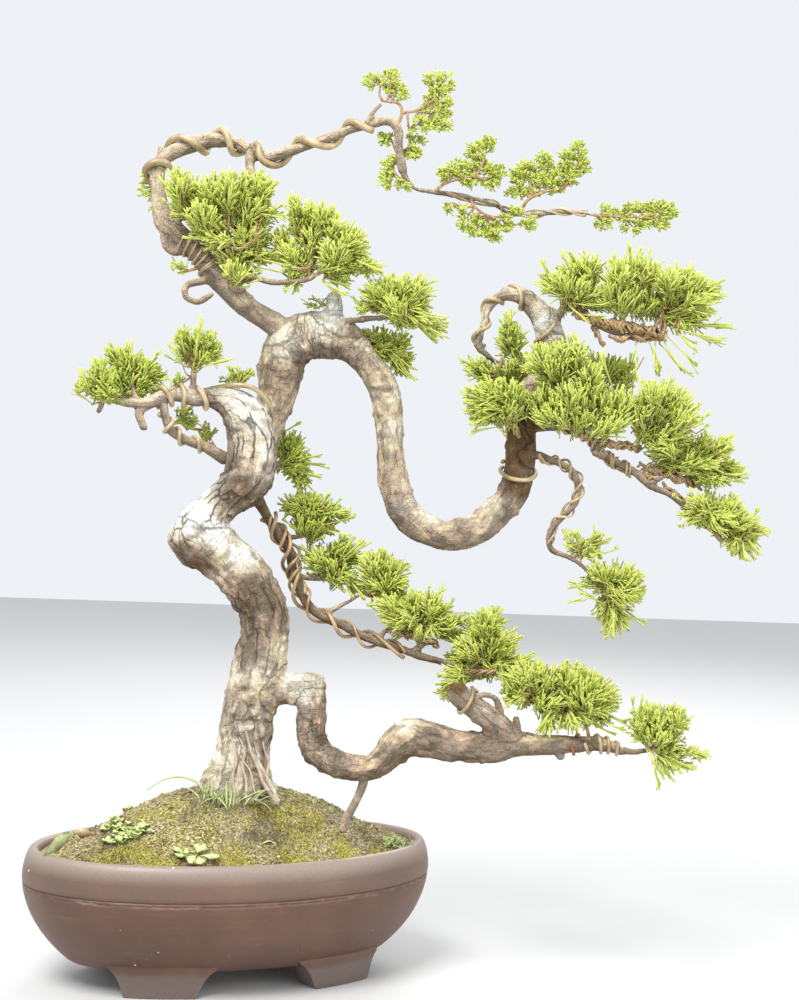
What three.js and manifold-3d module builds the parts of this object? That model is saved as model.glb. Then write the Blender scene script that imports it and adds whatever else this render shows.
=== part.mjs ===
// A juniper bonsai with wired limbs, in a mound of grit in an oval clay pot.
// Millimetres, +Z up, the viewer on the -Y side.
import * as THREE from 'three';
import Module from 'manifold-3d';

const wasm = await Module();
wasm.setup();

// The front sheet that the tree is drawn on, ruled in squares
const SQUARE = 0.8; // mm that one square covers at the trunk
const VIEW_DISTANCE = 1200; // mm from the viewer to the trunk
const VIEW_HEIGHT = 382; // mm from the feet up to the middle of the sheet
const SHEET_MIDDLE = [399.5, 500]; // squares
const SHEET_LEAN = 0.033; // rad that the sheet leans from plumb

// Pot
const POT_CENTRE = [-124.6, 0];
const POT_TURN = 0.3; // rad, right end away from the viewer
const POT_HALF_LENGTH = 163;
const POT_HALF_DEPTH = 93;
const OVAL_SIDES = 28; // of the pot and of the soil in it
const RIM_TOP = 106;
const BOWL_FOOT = 17.2; // height of the bowl's underside
const FLOOR_TOP = 28; // height of the floor inside the bowl
const RIM_WIDTH = 11.4;
const FOOT_OUTER_INSET = 31; // from the widest outline in to the foot's outer face
const FOOT_THICKNESS = 19;
const FOOT_MIDDLES = [64, 84]; // along the pot, front left with back right, then the other two
const FOOT_HALF_WIDTH = 27; // at the floor
const FOOT_FLARE = 12; // wider on each side where it meets the bowl
const FOOT_TOP = 24; // sunk in the bowl's floor
const FOOT_STEPS = 4;
const DRAIN_RADIUS = 9;
const DRAIN_X = 52;

// Soil
const SOIL_EDGE = 100; // height where the soil meets the wall
const SOIL_RISE = 52; // rise from there to the trunk
const SOIL_LUMPS = 1.2; // mm
const SOIL_DOME = 1.3; // above 1 the mound is fuller near the trunk
const MOUND_RINGS = [1, 0.8, 0.6, 0.4, 0.2]; // parts of the soil's reach
const BED_GAP = 0.7; // from the wall to the soil
const CLEAR = 0.3; // gap between neighbouring pieces

// Shoots
const CORE_RADIUS = 1.6; // of a spray's stems, which have three sides
const BUD_RADIUS = 1.5;
const BUD_RISE = 5; // from a tuft's base to the middle of its bud
const BUD_SINK = 0.5; // from its foot to the middle of the stem
const BUD_HALF_WAIST = 0.6; // from a bud's middle to its two rings, in its radius
const BUD_TOP = 1.3; // from its middle to its top, in its radius
const SHOOT_WAIST = 0.6; // a shoot's radius at its foot, in the bud's radius
const STEM_POINT = 0.7; // how far a stem's ends stand out, in its radius
const DOME_RISE = 0.65; // part of a tuft's length that its dome takes
const TILTS = [0.42, 0.9, 1.35]; // rad that a bud's three rings of shoots lean from its axis
const SMALL_TUFT = 470; // mm2, below it a tuft has no side shoots
const LARGE_TUFT = 640; // mm2, above it a ring has four shoots, below it three
const FINE = 0.05; // mm that a surface may move when small faces are merged
const COARSE = 0.25; // mm, the same for wood
const SPRAY_SLACK = 0.12; // mm, the same for sprays
const SEED = 20261;

// Wood and wires
const THIN_TWIG = 4.7; // squares, up to this radius a twig has four sides
const WIRE_STEPS = 6; // points for each turn of a wire
const BARK_ALLOWANCE = 1.04; // a limb's radius for its wire, as its bark is uneven
const FINISH = {
  clay: { roughness: 0.75 },
  grit: { roughness: 0.95 },
  bark: { roughness: 0.85 },
  foliage: { roughness: 0.7 },
  wire: { roughness: 0.5, metalness: 0.6 },
};

const COLOUR = {
  clay: 0x6d564e,
  grit: 0x9a8f62,
  bark: 0xb3a68c,
  foliage: 0x9fb43a,
  wire: 0xc2b394,
  copper: 0xa2603c,
};

// Limbs: [squares right, squares down, mm away, radius in squares]
const TRUNK_LOW = [
  [236, 806, 0, 34], [239, 775, 0, 31], [244, 742, -1, 27], [251, 704, -3, 27], [259, 668, -5, 27.5],
  [264, 638, -6, 25], [262, 610, -8, 26], [249, 584, -12, 26.5], [225, 558, -18, 26], [196, 534, -22, 28],
];
const TRUNK_HIGH = [
  [196, 533, -22, 24], [212, 512, -16, 20.5], [229, 497, -10, 20], [246, 482, -5, 24],
  [251, 464, -2, 26], [252, 441, 0, 24.5], [246, 420, 0, 23], [234, 406, -1, 19], [221, 400, -3, 14],
  [208, 397, -7, 10],
];
const ARCH = [
  [250, 480, 8, 15], [262, 446, 19, 16], [270, 418, 25, 17], [277, 396, 27, 20], [281, 374, 25, 23],
  [287, 350, 21, 24], [303, 338, 18, 25.5], [324, 335, 16, 24.5], [342, 340, 15, 21.5], [357, 351, 14, 16.5],
  [370, 366, 12, 14.5], [382, 386, 11, 15], [388, 412, 10, 15.5], [390, 440, 9, 14], [391, 465, 8, 14.5],
  [396, 492, 6, 16], [405, 512, 5, 16.5], [424, 528, 4, 15.5], [450, 536, 2, 15], [478, 528, 0, 15.5],
  [494, 515, -1, 15.5], [507, 502, -2, 15.5], [515, 488, -3, 15.5], [519, 470, -4, 15], [521, 452, -5, 15.5],
  [521, 434, -6, 15.5], [522, 414, -4, 15], [529, 392, 2, 14.5], [542, 369, 8, 14.5], [551, 346, 10, 15],
  [546, 325, 8, 14], [535, 308, 6, 11.5], [523, 297, 4, 8.5], [509, 294, 2, 6.5], [496, 299, 0, 5.5],
  [487, 310, -2, 4.5], [484, 323, -4, 4.2], [479, 336, -5, 4], [479, 347, -4, 4], [487, 355, -2, 3.5],
  [499, 365, 0, 3],
];
const TOP_LIMB = [
  [292, 338, 20, 16], [280, 328, 15, 12.5], [266, 319, 10, 11.5], [250, 309, 5, 11], [236, 296, 2, 12],
  [224, 284, 0, 12], [212, 273, -2, 11], [204, 259, -4, 11], [192, 247, -7, 11.5], [177, 234, -9, 11.5],
  [164, 220, -9, 11.5], [160, 206, -8, 9], [158, 190, -6, 7.5], [157, 174, -3, 8], [160, 162, 0, 7.5],
  [172, 153, 4, 7.5], [188, 146, 9, 8], [204, 141, 13, 8], [219, 140, 16, 7.5], [236, 143, 17, 6.5],
  [252, 151, 16, 6], [266, 157, 14, 6], [284, 153, 10, 5.5], [302, 147, 5, 5], [326, 139, -2, 5],
  [350, 130, -8, 4.5], [372, 124, -12, 4.5], [390, 121, -14, 5], [398, 130, -14, 5], [399, 146, -12, 4.5],
  [401, 162, -9, 4], [406, 179, -5, 3.5], [417, 189, -1, 3], [434, 192, 4, 3], [462, 196, 10, 3],
  [495, 205, 15, 3], [509, 213, 17, 3], [537, 214, 18, 2.8], [561, 212, 17, 2.5], [580, 212, 15, 2.2],
  [596, 216, 13, 1.8],
];
const LEFT_LIMB = [
  [222, 400, -3, 12], [208, 397, -7, 9.5], [194, 398, -12, 8.5], [178, 394, -17, 8],
  [162, 396, -22, 7], [150, 403, -26, 6], [136, 403, -29, 5], [120, 402, -32, 3.8], [105, 398, -34, 3.2],
  [99, 411, -35, 3],
];
const LEFT_LOOP = [
  [224, 458, -2, 7], [205, 447, -7, 5.5], [188, 441, -12, 5], [171, 430, -17, 5], [165, 414, -21, 4.5],
  [163, 400, -22, 4.2],
];
const LOW_LIMB_ROOT = [[260, 690, -3, 20], [284, 689, -6, 16], [310, 688, -10, 17]];
const LOW_LIMB = [
  [310, 688, -10, 17], [312, 710, -14, 15.5], [311, 731, -17, 15.5], [316, 749, -19, 15.5],
  [331, 761, -21, 14.5], [350, 767, -23, 13.5], [369, 768, -24, 13], [385, 758, -25, 14.5],
  [396, 745, -26, 17], [411, 737, -27, 20], [427, 739, -28, 19.5], [443, 743, -29, 17.5],
  [461, 746, -30, 15.5], [481, 747, -30, 16], [499, 747, -30, 15], [518, 744, -30, 13],
  [540, 745, -30, 10.5], [560, 745, -30, 10], [580, 744, -30, 8.5], [598, 744, -30, 7.5],
  [610, 746, -30, 6], [619, 750, -30, 4], [632, 752, -30, 2.8], [650, 750, -30, 2.2],
];
const CASCADE_LIMB = [
  [250, 488, 4, 10], [262, 507, 18, 5.5], [271, 523, 22, 5], [281, 537, 24, 5], [290, 552, 25, 5],
  [293, 571, 24, 5], [299, 588, 22, 5], [309, 606, 20, 5], [323, 617, 18, 4.8], [342, 625, 15, 4.8],
  [358, 634, 12, 4.5], [376, 641, 9, 4.5], [398, 648, 6, 4.5], [420, 656, 3, 4], [442, 662, 0, 3.5],
  [466, 670, -3, 3],
];
const HANGING_TWIG = [
  [521, 457, -6, 8], [537, 455, -12, 4.6], [549, 459, -14, 4], [561, 464, -15, 4], [573, 472, -16, 4],
  [578, 486, -17, 4], [575, 503, -17, 3.8], [562, 517, -16, 3.6], [550, 532, -15, 3.5], [551, 549, -14, 3.4],
  [566, 556, -13, 3], [580, 564, -12, 2.5], [602, 588, -10, 2.2],
];
const RIGHT_BRANCH = [
  [525, 428, -6, 6], [547, 427, -12, 4.6], [569, 428, -17, 4.6], [583, 434, -19, 4.5], [594, 443, -21, 4.5],
  [606, 456, -23, 4.2], [620, 464, -24, 4], [634, 472, -25, 4], [650, 486, -26, 3.6], [667, 493, -27, 3.5],
  [681, 504, -28, 3], [698, 520, -29, 2.6], [714, 533, -29, 2.2],
];
const HIGH_BRANCH = [
  [550, 334, 8, 7], [560, 313, 4, 5], [572, 304, 0, 5], [586, 316, -5, 4.2], [600, 326, -8, 3.6],
  [618, 333, -10, 3.5], [640, 338, -10, 3.2], [662, 333, -8, 3],
];

// Short wood: stubs, twigs, dead ends and roots, written as the limbs are
const SHORT_WOOD = {
  stump: [[512, 740, -30, 13], [496, 724, -33, 13], [478, 710, -36, 12], [457, 693, -38, 11.5]],
  prop: [[365, 770, -24, 6], [363, 784, -24, 5], [357, 799, -24, 4.5], [348, 816, -24, 5], [343, 830, -24, 5]],
  knob: [[334, 325, 14, 10], [334, 306, 10, 9.5], [334, 297, 9, 8]],
  top_stub: [[162, 166, 1, 5], [160, 148, 3, 3]],
  wired_stub: [[251, 150, 16, 6], [250, 165, 12, 5], [252, 178, 9, 4.6]],
  elbow_stub: [[168, 222, -9, 6], [184, 215, -12, 3.8]],
  dead_twig: [[186, 250, -8, 5], [172, 252, -11, 3.6], [165, 245, -12, 3.6], [162, 234, -13, 2.8]],
  dead_curl: [
    [214, 279, -4, 5], [198, 282, -8, 4], [186, 286, -11, 3.8], [186, 297, -13, 3.6], [198, 302, -13, 3.4],
    [212, 294, -13, 3.2],
  ],
  crown_twig: [[204, 258, -6, 5], [209, 249, -14, 3.4], [222, 247, -19, 3], [240, 250, -22, 2.6]],
  upper_twig: [
    [234, 290, 0, 6], [240, 281, -6, 4], [255, 278, -9, 3.4], [270, 282, -10, 3.4], [290, 282, -11, 3],
    [308, 279, -11, 2.8], [322, 271, -11, 2.4],
  ],
  arch_twig: [
    [340, 324, 12, 6], [352, 321, 4, 4], [364, 319, -2, 3.4], [378, 318, -5, 3], [396, 315, -8, 2.4],
  ],
  fan_twig: [[368, 125, -12, 4], [372, 114, -13, 2.8], [381, 104, -14, 2.2]],
  left_twig: [[188, 396, -14, 5], [193, 386, -16, 3.8], [193, 374, -17, 3.2]],
  left_tip: [[138, 403, -29, 4], [134, 394, -28, 3], [132, 384, -28, 2.4]],
  left_stub: [[150, 404, -26, 5], [139, 412, -28, 4.6], [144, 428, -29, 4.2]],
  low_twig: [[500, 712, -34, 5], [495, 698, -38, 3], [482, 695, -40, 3.4], [476, 698, -41, 3]],
  low_stub: [[517, 738, -30, 6], [516, 718, -31, 3.6]],
  bud_lump: [[556, 748, -30, 6], [561, 757, -31, 4.5]],
  cascade_twig_1: [[282, 538, 24, 4], [295, 537, 30, 2.8], [309, 535, 36, 2.2]],
  cascade_twig_2: [[293, 574, 24, 4], [307, 578, 29, 2.8], [323, 580, 34, 2.2]],
  cascade_twig_3: [[322, 616, 18, 4], [336, 608, 22, 2.8], [352, 600, 26, 2.2]],
  cascade_twig_4: [[378, 641, 9, 4], [384, 632, 13, 2.8], [394, 628, 15, 2.2]],
  cascade_twig_5: [[412, 653, 4, 4], [424, 644, 10, 2.8], [436, 643, 13, 2.2]],
  pad_twig_left: [[522, 410, -4, 8], [510, 404, -14, 4], [498, 402, -20, 3]],
  pad_twig_right: [
    [528, 396, 0, 8], [552, 396, -12, 4.6], [578, 402, -19, 4], [604, 407, -23, 3.6], [628, 414, -25, 3.2],
    [648, 426, -26, 2.6],
  ],
  pad_twig_back: [[541, 371, 10, 7], [556, 378, 26, 3.4], [574, 384, 36, 2.6]],
  branch_stub: [[608, 457, -23, 4], [594, 453, -25, 3.6]],
  branch_twig: [[648, 485, -26, 3.6], [664, 476, -20, 2.8], [680, 466, -15, 2.4]],
  root_1: [[243, 740, -17, 5], [242, 762, -21, 4.5], [239, 786, -25, 5], [236, 806, -27, 5]],
  root_2: [[251, 738, -16, 5], [255, 759, -19, 4.5], [264, 777, -20, 5], [276, 803, -19, 5]],
  root_3: [[262, 740, -8, 5], [265, 763, -8, 4.5], [271, 786, -6, 5], [279, 806, -3, 5]],
  root_4: [[226, 748, -8, 9], [211, 776, -10, 9], [198, 806, -11, 10]],
  root_5: [[245, 752, 12, 12], [243, 782, 22, 12], [242, 808, 30, 12]],
};

// Wires: the limb, the stretch in points along it, turns, phase and radius in mm
const WIRES = {
  wire_top: { limb: TOP_LIMB, from: 12.7, to: 26, turns: 7, phase: 2.4, radius: 2.9 },
  wire_crown: { limb: TOP_LIMB, from: 6, to: 8.6, turns: 3, phase: 0.5, radius: 1.4 },
  wire_tip: { limb: TOP_LIMB, from: 33.4, to: 39.4, turns: 3, phase: 1, radius: 1.3 },
  wire_left: {
    limb: LEFT_LIMB, from: 0.8, to: 4.6, turns: 3.4, phase: 0.4, radius: 2,
    lead: [[270, 428, 12], [272, 414, 2], [266, 399, -6], [253, 388, -9], [238, 385, -9]],
  },
  wire_loop: { limb: LEFT_LOOP, from: 0.8, to: 4.1, turns: 3.5, phase: 0, radius: 1.6 },
  wire_arch: { limb: ARCH, from: 28.3, to: 38.2, turns: 4.6, phase: 0, radius: 1.7 },
  wire_ring: { limb: ARCH, from: 22.8, to: 23.2, turns: 1, phase: 2.6, radius: 1.8, steps: 12 },
  wire_hanging: { limb: HANGING_TWIG, from: 1.2, to: 8.6, turns: 4.5, phase: 1.2, radius: 1.4 },
  wire_right: { limb: RIGHT_BRANCH, from: 1.6, to: 7, turns: 5, phase: 1, radius: 1.4 },
  wire_cascade_a: { limb: CASCADE_LIMB, from: 1.6, to: 12.4, turns: 7, phase: 0.2, radius: 2.1 },
  wire_cascade_b: { limb: CASCADE_LIMB, from: 1.6, to: 6.4, turns: 3.11, phase: 3.34, radius: 2.1 },
  wire_low: { limb: LOW_LIMB, from: 18.2, to: 21, turns: 3.5, phase: 1, radius: 1.4 },
  wire_copper: { limb: LOW_LIMB, from: 17.5, to: 17.95, turns: 1, phase: 1, radius: 1.2, colour: COLOUR.copper },
  wire_stump: { limb: SHORT_WOOD.stump, from: 2.45, to: 2.65, turns: 1, phase: 0, radius: 1.5 },
};

// Foliage. A spray's first stem starts in the wood and the others on a stem before it, each a
// list of [right, down, away]. Its tufts are [base right, down, away, tip right, down, away,
// half width in squares, half depth in mm].
const SPRAYS = {
  foliage_fan_1: {
    stems: [
      [[398, 124, -14], [402, 113, -14], [399, 104, -14], [383, 101, -14]],
      [[402, 113, -14], [416, 111, -13]],
    ],
    tufts: [
      [381, 101, -14, 369, 78, -14, 8, 3], [386, 101, -14, 388, 70, -15, 10, 3],
      [414, 111, -13, 438, 73, -14, 14, 4], [417, 111, -13, 455, 96, -12, 13, 4],
      [414, 114, -13, 452, 124, -12, 12, 4],
    ],
  },
  foliage_fan_2: {
    stems: [
      [[401, 152, -10], [401, 153, -3], [391, 158, -5]],
      [[401, 153, -3], [411, 146, -3]],
    ],
    tufts: [
      [392, 156, -5, 379, 136, -8, 8, 3], [390, 160, -6, 382, 188, -12, 12, 3],
      [410, 145, -3, 421, 132, -4, 9, 3], [411, 147, -3, 418, 158, -4, 11, 3],
    ],
  },
  foliage_fan_3: {
    stems: [[[434, 192, 4], [444, 184, -1], [462, 178, -3], [476, 176, -3]]],
    tufts: [
      [444, 184, -1, 443, 164, -2, 9, 4], [452, 181, -2, 462, 160, -4, 11, 4],
      [468, 178, -3, 486, 136, -4, 13, 4], [475, 176, -3, 506, 172, -4, 14, 4],
    ],
  },
  foliage_fan_4: {
    stems: [[[520, 213, 17], [528, 200, 11], [545, 192, 10], [562, 188, 10]]],
    tufts: [
      [528, 199, 11, 510, 180, 9, 11, 4], [531, 197, 11, 526, 160, 8, 13, 4],
      [560, 188, 10, 578, 141, 12, 15, 4], [561, 188, 10, 589, 170, 10, 12, 4],
    ],
  },
  foliage_fan_5: {
    stems: [[[470, 198, 11], [474, 206, 5], [484, 214, 3]]],
    tufts: [
      [474, 206, 5, 452, 208, 4, 8, 3], [477, 209, 5, 472, 238, 3, 11, 4],
      [482, 213, 4, 500, 238, 3, 12, 4], [484, 214, 3, 513, 224, 4, 8, 3],
    ],
  },
  foliage_fan_6: {
    stems: [[[594, 215, 13], [604, 216, 14], [640, 217, 15]]],
    tufts: [
      [600, 216, 14, 612, 232, 14, 9, 3], [603, 216, 14, 614, 202, 14, 8, 3],
      [620, 216, 14, 646, 230, 15, 11, 4], [624, 216, 14, 650, 202, 15, 10, 4],
      [638, 217, 15, 680, 212, 16, 13, 4],
    ],
  },
  foliage_crown_1: {
    stems: [
      [[208, 250, -14], [206, 240, -20], [202, 232, -22]],
      [[206, 240, -20], [222, 232, -22], [228, 228, -22]],
    ],
    tufts: [
      [198, 230, -22, 178, 168, -16, 15, 12], [202, 234, -22, 190, 214, -44, 13, 12],
      [219, 233, -22, 214, 172, -22, 14, 12], [228, 228, -22, 236, 170, -20, 14, 12],
      [225, 230, -20, 216, 186, 14, 18, 12], [226, 231, -22, 226, 208, -52, 17, 12],
    ],
  },
  foliage_crown_2: {
    stems: [[[239, 250, -22], [248, 244, -18], [256, 238, -14]]],
    tufts: [
      [249, 243, -18, 256, 171, -14, 14, 12], [255, 239, -14, 273, 182, -8, 13, 12],
      [256, 240, -14, 282, 220, -6, 11, 10], [254, 242, -14, 286, 248, -12, 11, 10],
      [252, 241, -12, 250, 196, 20, 18, 12],
      [254, 240, -14, 268, 192, -10, 12, 12], [256, 242, -14, 274, 266, -14, 11, 10],
    ],
  },
  foliage_crown_3: {
    stems: [[[158, 192, -6], [153, 190, 4], [149, 190, 6]]],
    tufts: [[150, 189, 5, 140, 176, 8, 6, 6], [149, 191, 5, 142, 204, 8, 7, 6]],
  },
  foliage_crown_4: {
    stems: [[[198, 268, -6], [188, 271, -8]]],
    tufts: [[188, 271, -8, 167, 266, -10, 6, 5]],
  },
  foliage_upper_1: {
    stems: [
      [[310, 278, -11], [309, 268, -14], [313, 258, -12]],
      [[309, 268, -14], [298, 269, -18]],
    ],
    tufts: [
      [298, 268, -18, 277, 232, -20, 13, 12], [299, 270, -18, 290, 294, -20, 10, 8],
      [311, 262, -12, 290, 194, -14, 11, 12], [313, 258, -12, 308, 204, -22, 13, 12],
      [312, 261, -10, 312, 216, 24, 18, 12],
    ],
  },
  foliage_upper_2: {
    stems: [[[323, 271, -11], [332, 262, -9], [340, 256, -8]]],
    tufts: [
      [338, 257, -8, 342, 214, 2, 13, 12], [340, 257, -8, 366, 234, 6, 14, 12],
      [340, 260, -8, 371, 256, -10, 12, 12], [336, 259, -12, 342, 240, -40, 17, 12],
      [336, 263, -9, 350, 294, -10, 10, 8],
      [341, 257, -8, 380, 246, 0, 11, 10],
    ],
  },
  foliage_arch_1: {
    stems: [
      [[388, 317, -7], [390, 308, -10], [380, 304, -11]],
      [[390, 308, -10], [402, 306, -10], [411, 306, -10]],
    ],
    tufts: [
      [382, 303, -11, 380, 274, -12, 13, 10], [383, 305, -8, 382, 284, 22, 16, 10],
      [410, 305, -10, 426, 278, -4, 13, 10], [411, 308, -10, 430, 304, -10, 11, 10],
      [410, 309, -11, 447, 330, -12, 11, 8], [402, 307, -13, 404, 294, -34, 15, 10],
    ],
  },
  foliage_arch_2: {
    stems: [[[352, 322, 4], [360, 330, 30], [378, 336, 34], [390, 348, 36]]],
    tufts: [
      [366, 332, 32, 362, 350, 36, 9, 8], [378, 335, 34, 414, 334, 36, 10, 8],
      [389, 346, 36, 412, 352, 36, 10, 8], [390, 349, 36, 408, 380, 38, 11, 8],
    ],
  },
  foliage_arch_3: {
    stems: [[[330, 308, 10], [320, 302, 10]]],
    tufts: [[319, 302, 10, 302, 302, 10, 7, 6]],
  },
  foliage_left_1: {
    stems: [
      [[118, 402, -32], [114, 390, -35], [114, 385, -36]],
      [[114, 390, -35], [98, 399, -40], [94, 399, -40]],
    ],
    tufts: [
      [95, 400, -40, 72, 392, -40, 8, 8], [97, 398, -41, 92, 384, -62, 10, 8],
      [113, 387, -36, 98, 358, -34, 11, 10], [115, 385, -36, 112, 342, -36, 12, 10],
      [114, 388, -38, 112, 366, -64, 14, 10],
    ],
  },
  foliage_left_2: {
    stems: [[[132, 385, -28], [135, 377, -28], [143, 376, -27]]],
    tufts: [
      [135, 376, -28, 130, 338, -30, 11, 10], [141, 375, -27, 148, 352, -24, 12, 10],
      [143, 377, -27, 166, 362, -22, 11, 10], [142, 379, -27, 164, 386, -24, 9, 9],
      [139, 376, -24, 136, 352, 2, 15, 10],
    ],
  },
  foliage_left_3: {
    stems: [[[193, 375, -17], [193, 362, -17]]],
    tufts: [
      [192, 364, -17, 179, 325, -18, 10, 9], [195, 363, -17, 214, 332, -14, 10, 9],
      [191, 367, -17, 166, 352, -20, 7, 8], [193, 365, -20, 192, 346, -44, 13, 8],
      [194, 365, -14, 200, 344, 12, 13, 8],
    ],
  },
  foliage_left_4: {
    stems: [[[236, 398, 6], [236, 382, 10]]],
    tufts: [[235, 383, 10, 225, 370, 10, 6, 6], [237, 382, 10, 246, 366, 12, 9, 7]],
  },
  foliage_left_5: {
    stems: [[[218, 452, 2], [209, 438, 12], [203, 430, 16]]],
    tufts: [[208, 436, 13, 214, 418, 18, 9, 6], [204, 431, 16, 184, 412, 18, 11, 6]],
  },
  foliage_cascade_1: {
    stems: [[[262, 450, 24], [274, 460, 40], [282, 467, 42]]],
    tufts: [
      [281, 465, 42, 300, 430, 42, 13, 10], [283, 467, 42, 322, 456, 40, 12, 10],
      [282, 469, 42, 310, 490, 40, 12, 10], [281, 466, 44, 290, 452, 72, 16, 10],
    ],
  },
  foliage_cascade_2: {
    stems: [[[308, 535, 36], [316, 530, 38]]],
    tufts: [
      [314, 530, 38, 306, 488, 34, 13, 10], [316, 530, 38, 332, 492, 40, 12, 10],
      [317, 531, 38, 354, 514, 40, 12, 10], [315, 530, 40, 316, 508, 70, 16, 10],
      [315, 531, 36, 314, 514, 8, 15, 10],
      [315, 530, 38, 290, 496, 32, 12, 10],
    ],
  },
  foliage_cascade_3: {
    stems: [[[322, 580, 34], [332, 575, 36]]],
    tufts: [
      [331, 574, 36, 328, 538, 32, 12, 9], [332, 574, 36, 360, 542, 36, 13, 9],
      [332, 578, 35, 348, 598, 34, 10, 8], [331, 575, 38, 336, 556, 66, 15, 9],
      [331, 576, 34, 330, 562, 6, 14, 9],
      [331, 575, 36, 306, 552, 30, 12, 9],
    ],
  },
  foliage_cascade_4: {
    stems: [[[351, 600, 26], [363, 593, 28]]],
    tufts: [
      [363, 592, 28, 390, 550, 28, 13, 9], [364, 593, 28, 409, 576, 30, 12, 9],
      [363, 596, 27, 398, 602, 28, 8, 8], [362, 593, 30, 378, 574, 56, 15, 9],
      [362, 594, 26, 376, 578, 0, 14, 9],
    ],
  },
  foliage_cascade_5: {
    stems: [
      [[393, 629, 15], [399, 621, 16], [412, 620, 15]],
      [[412, 620, 15], [430, 628, 14], [440, 629, 14]],
    ],
    tufts: [
      [401, 620, 16, 390, 588, 14, 13, 10], [410, 620, 15, 414, 584, 12, 14, 10],
      [404, 621, 18, 402, 602, 46, 18, 10], [405, 621, 14, 404, 606, -18, 17, 10],
      [440, 628, 14, 458, 600, 14, 13, 10], [441, 630, 14, 468, 628, 14, 12, 10],
      [436, 628, 17, 444, 612, 44, 16, 10], [435, 629, 12, 442, 614, -20, 16, 10],
      [404, 620, 15, 376, 606, 14, 11, 9],
    ],
  },
  foliage_cascade_6: {
    stems: [
      [[464, 670, -3], [473, 667, -8], [488, 667, -10]],
      [[473, 667, -8], [479, 656, 10], [484, 650, 18]],
      [[473, 667, -8], [462, 676, 2], [454, 684, 4]],
    ],
    tufts: [
      [484, 650, 18, 500, 610, 26, 13, 10], [483, 651, 19, 488, 634, 46, 17, 10],
      [473, 666, -8, 444, 652, -8, 12, 10], [482, 666, -9, 486, 626, -12, 14, 10],
      [487, 666, -10, 512, 632, -10, 14, 10], [488, 668, -10, 532, 656, -8, 11, 10],
      [483, 667, -12, 486, 652, -40, 18, 10], [454, 684, 4, 442, 704, 6, 10, 8],
      [487, 666, -10, 530, 642, -10, 12, 10],
    ],
  },
  foliage_low_1: {
    stems: [[[542, 742, -30], [548, 722, -30], [544, 702, -30]]],
    tufts: [
      [544, 704, -30, 508, 676, -32, 13, 10], [545, 704, -30, 556, 658, -30, 14, 10],
      [545, 706, -32, 542, 688, -62, 17, 10], [545, 706, -28, 544, 680, 0, 17, 10],
      [548, 716, -30, 562, 732, -36, 8, 8],
      [543, 708, -30, 510, 698, -32, 11, 9],
    ],
  },
  foliage_low_2: {
    stems: [[[590, 742, -30], [586, 724, -29], [582, 706, -28]]],
    tufts: [
      [582, 706, -28, 576, 660, -28, 14, 10], [583, 708, -28, 600, 668, -26, 13, 10],
      [584, 710, -28, 621, 690, -26, 13, 10], [583, 710, -30, 584, 692, -58, 17, 10],
      [583, 710, -26, 588, 684, 2, 17, 10],
      [584, 710, -28, 626, 710, -28, 10, 9],
    ],
  },
  foliage_low_3: {
    stems: [
      [[648, 750, -30], [654, 745, -30], [656, 738, -30]],
      [[654, 745, -30], [658, 755, -31]],
    ],
    tufts: [
      [656, 738, -30, 654, 698, -32, 12, 10], [657, 739, -30, 680, 704, -28, 12, 10],
      [657, 741, -30, 692, 724, -30, 11, 10], [656, 741, -32, 662, 728, -58, 14, 9],
      [656, 741, -28, 664, 726, -2, 14, 9], [659, 755, -31, 696, 770, -32, 11, 9],
      [658, 756, -31, 672, 782, -34, 11, 9],
      [656, 738, -30, 636, 704, -32, 11, 9],
    ],
  },
  foliage_high_1: {
    stems: [[[586, 316, -5], [587, 300, -6]]],
    tufts: [
      [586, 304, -6, 540, 278, -8, 15, 11], [588, 300, -6, 590, 246, -10, 15, 11],
      [587, 302, -8, 582, 282, -40, 18, 11], [588, 302, -4, 586, 272, 30, 18, 11],
      [586, 308, -6, 566, 320, -8, 8, 8],
      [589, 300, -6, 612, 248, -8, 13, 11], [587, 305, -8, 552, 302, -14, 11, 10],
    ],
  },
  foliage_high_2: {
    stems: [[[614, 332, -10], [616, 312, -11], [620, 300, -11]]],
    tufts: [
      [616, 308, -11, 608, 272, -12, 11, 11], [619, 302, -11, 624, 248, -12, 15, 11],
      [620, 302, -11, 640, 250, -10, 12, 11], [619, 305, -13, 616, 288, -46, 18, 11],
      [619, 304, -9, 622, 276, 26, 18, 11],
      [621, 300, -11, 656, 256, -9, 12, 11],
    ],
  },
  foliage_high_3: {
    stems: [[[660, 333, -8], [662, 318, -9], [664, 304, -9]]],
    tufts: [
      [664, 304, -9, 680, 260, -8, 14, 11], [664, 307, -9, 702, 276, -6, 14, 11],
      [663, 318, -9, 734, 326, -6, 9, 9], [663, 322, -9, 698, 356, -8, 12, 9],
      [663, 309, -11, 662, 292, -44, 18, 11], [664, 308, -7, 668, 284, 28, 18, 11],
      [664, 306, -8, 722, 288, -4, 12, 10], [660, 322, -9, 680, 374, -12, 8, 8],
    ],
  },
  foliage_hook: {
    stems: [
      [[498, 365, 0], [504, 357, 1], [512, 350, 1]],
      [[504, 357, 1], [496, 372, -6], [490, 372, -8]],
    ],
    tufts: [
      [510, 351, 1, 500, 310, 1, 9, 7], [512, 350, 1, 522, 308, 1, 9, 7],
      [492, 371, -7, 461, 354, -8, 9, 7], [491, 373, -7, 466, 378, -8, 8, 7],
      [492, 372, -7, 482, 346, -6, 9, 7],
    ],
  },
  foliage_pad_1: {
    stems: [
      [[504, 403, -17], [498, 396, -22], [491, 398, -23]],
      [[498, 396, -22], [514, 389, -23]],
    ],
    tufts: [
      [491, 397, -23, 462, 386, -24, 11, 10], [492, 400, -23, 463, 414, -24, 11, 10],
      [495, 398, -24, 490, 386, -56, 16, 10], [511, 390, -23, 508, 360, -24, 13, 10],
      [513, 390, -24, 520, 380, -54, 16, 10],
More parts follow.
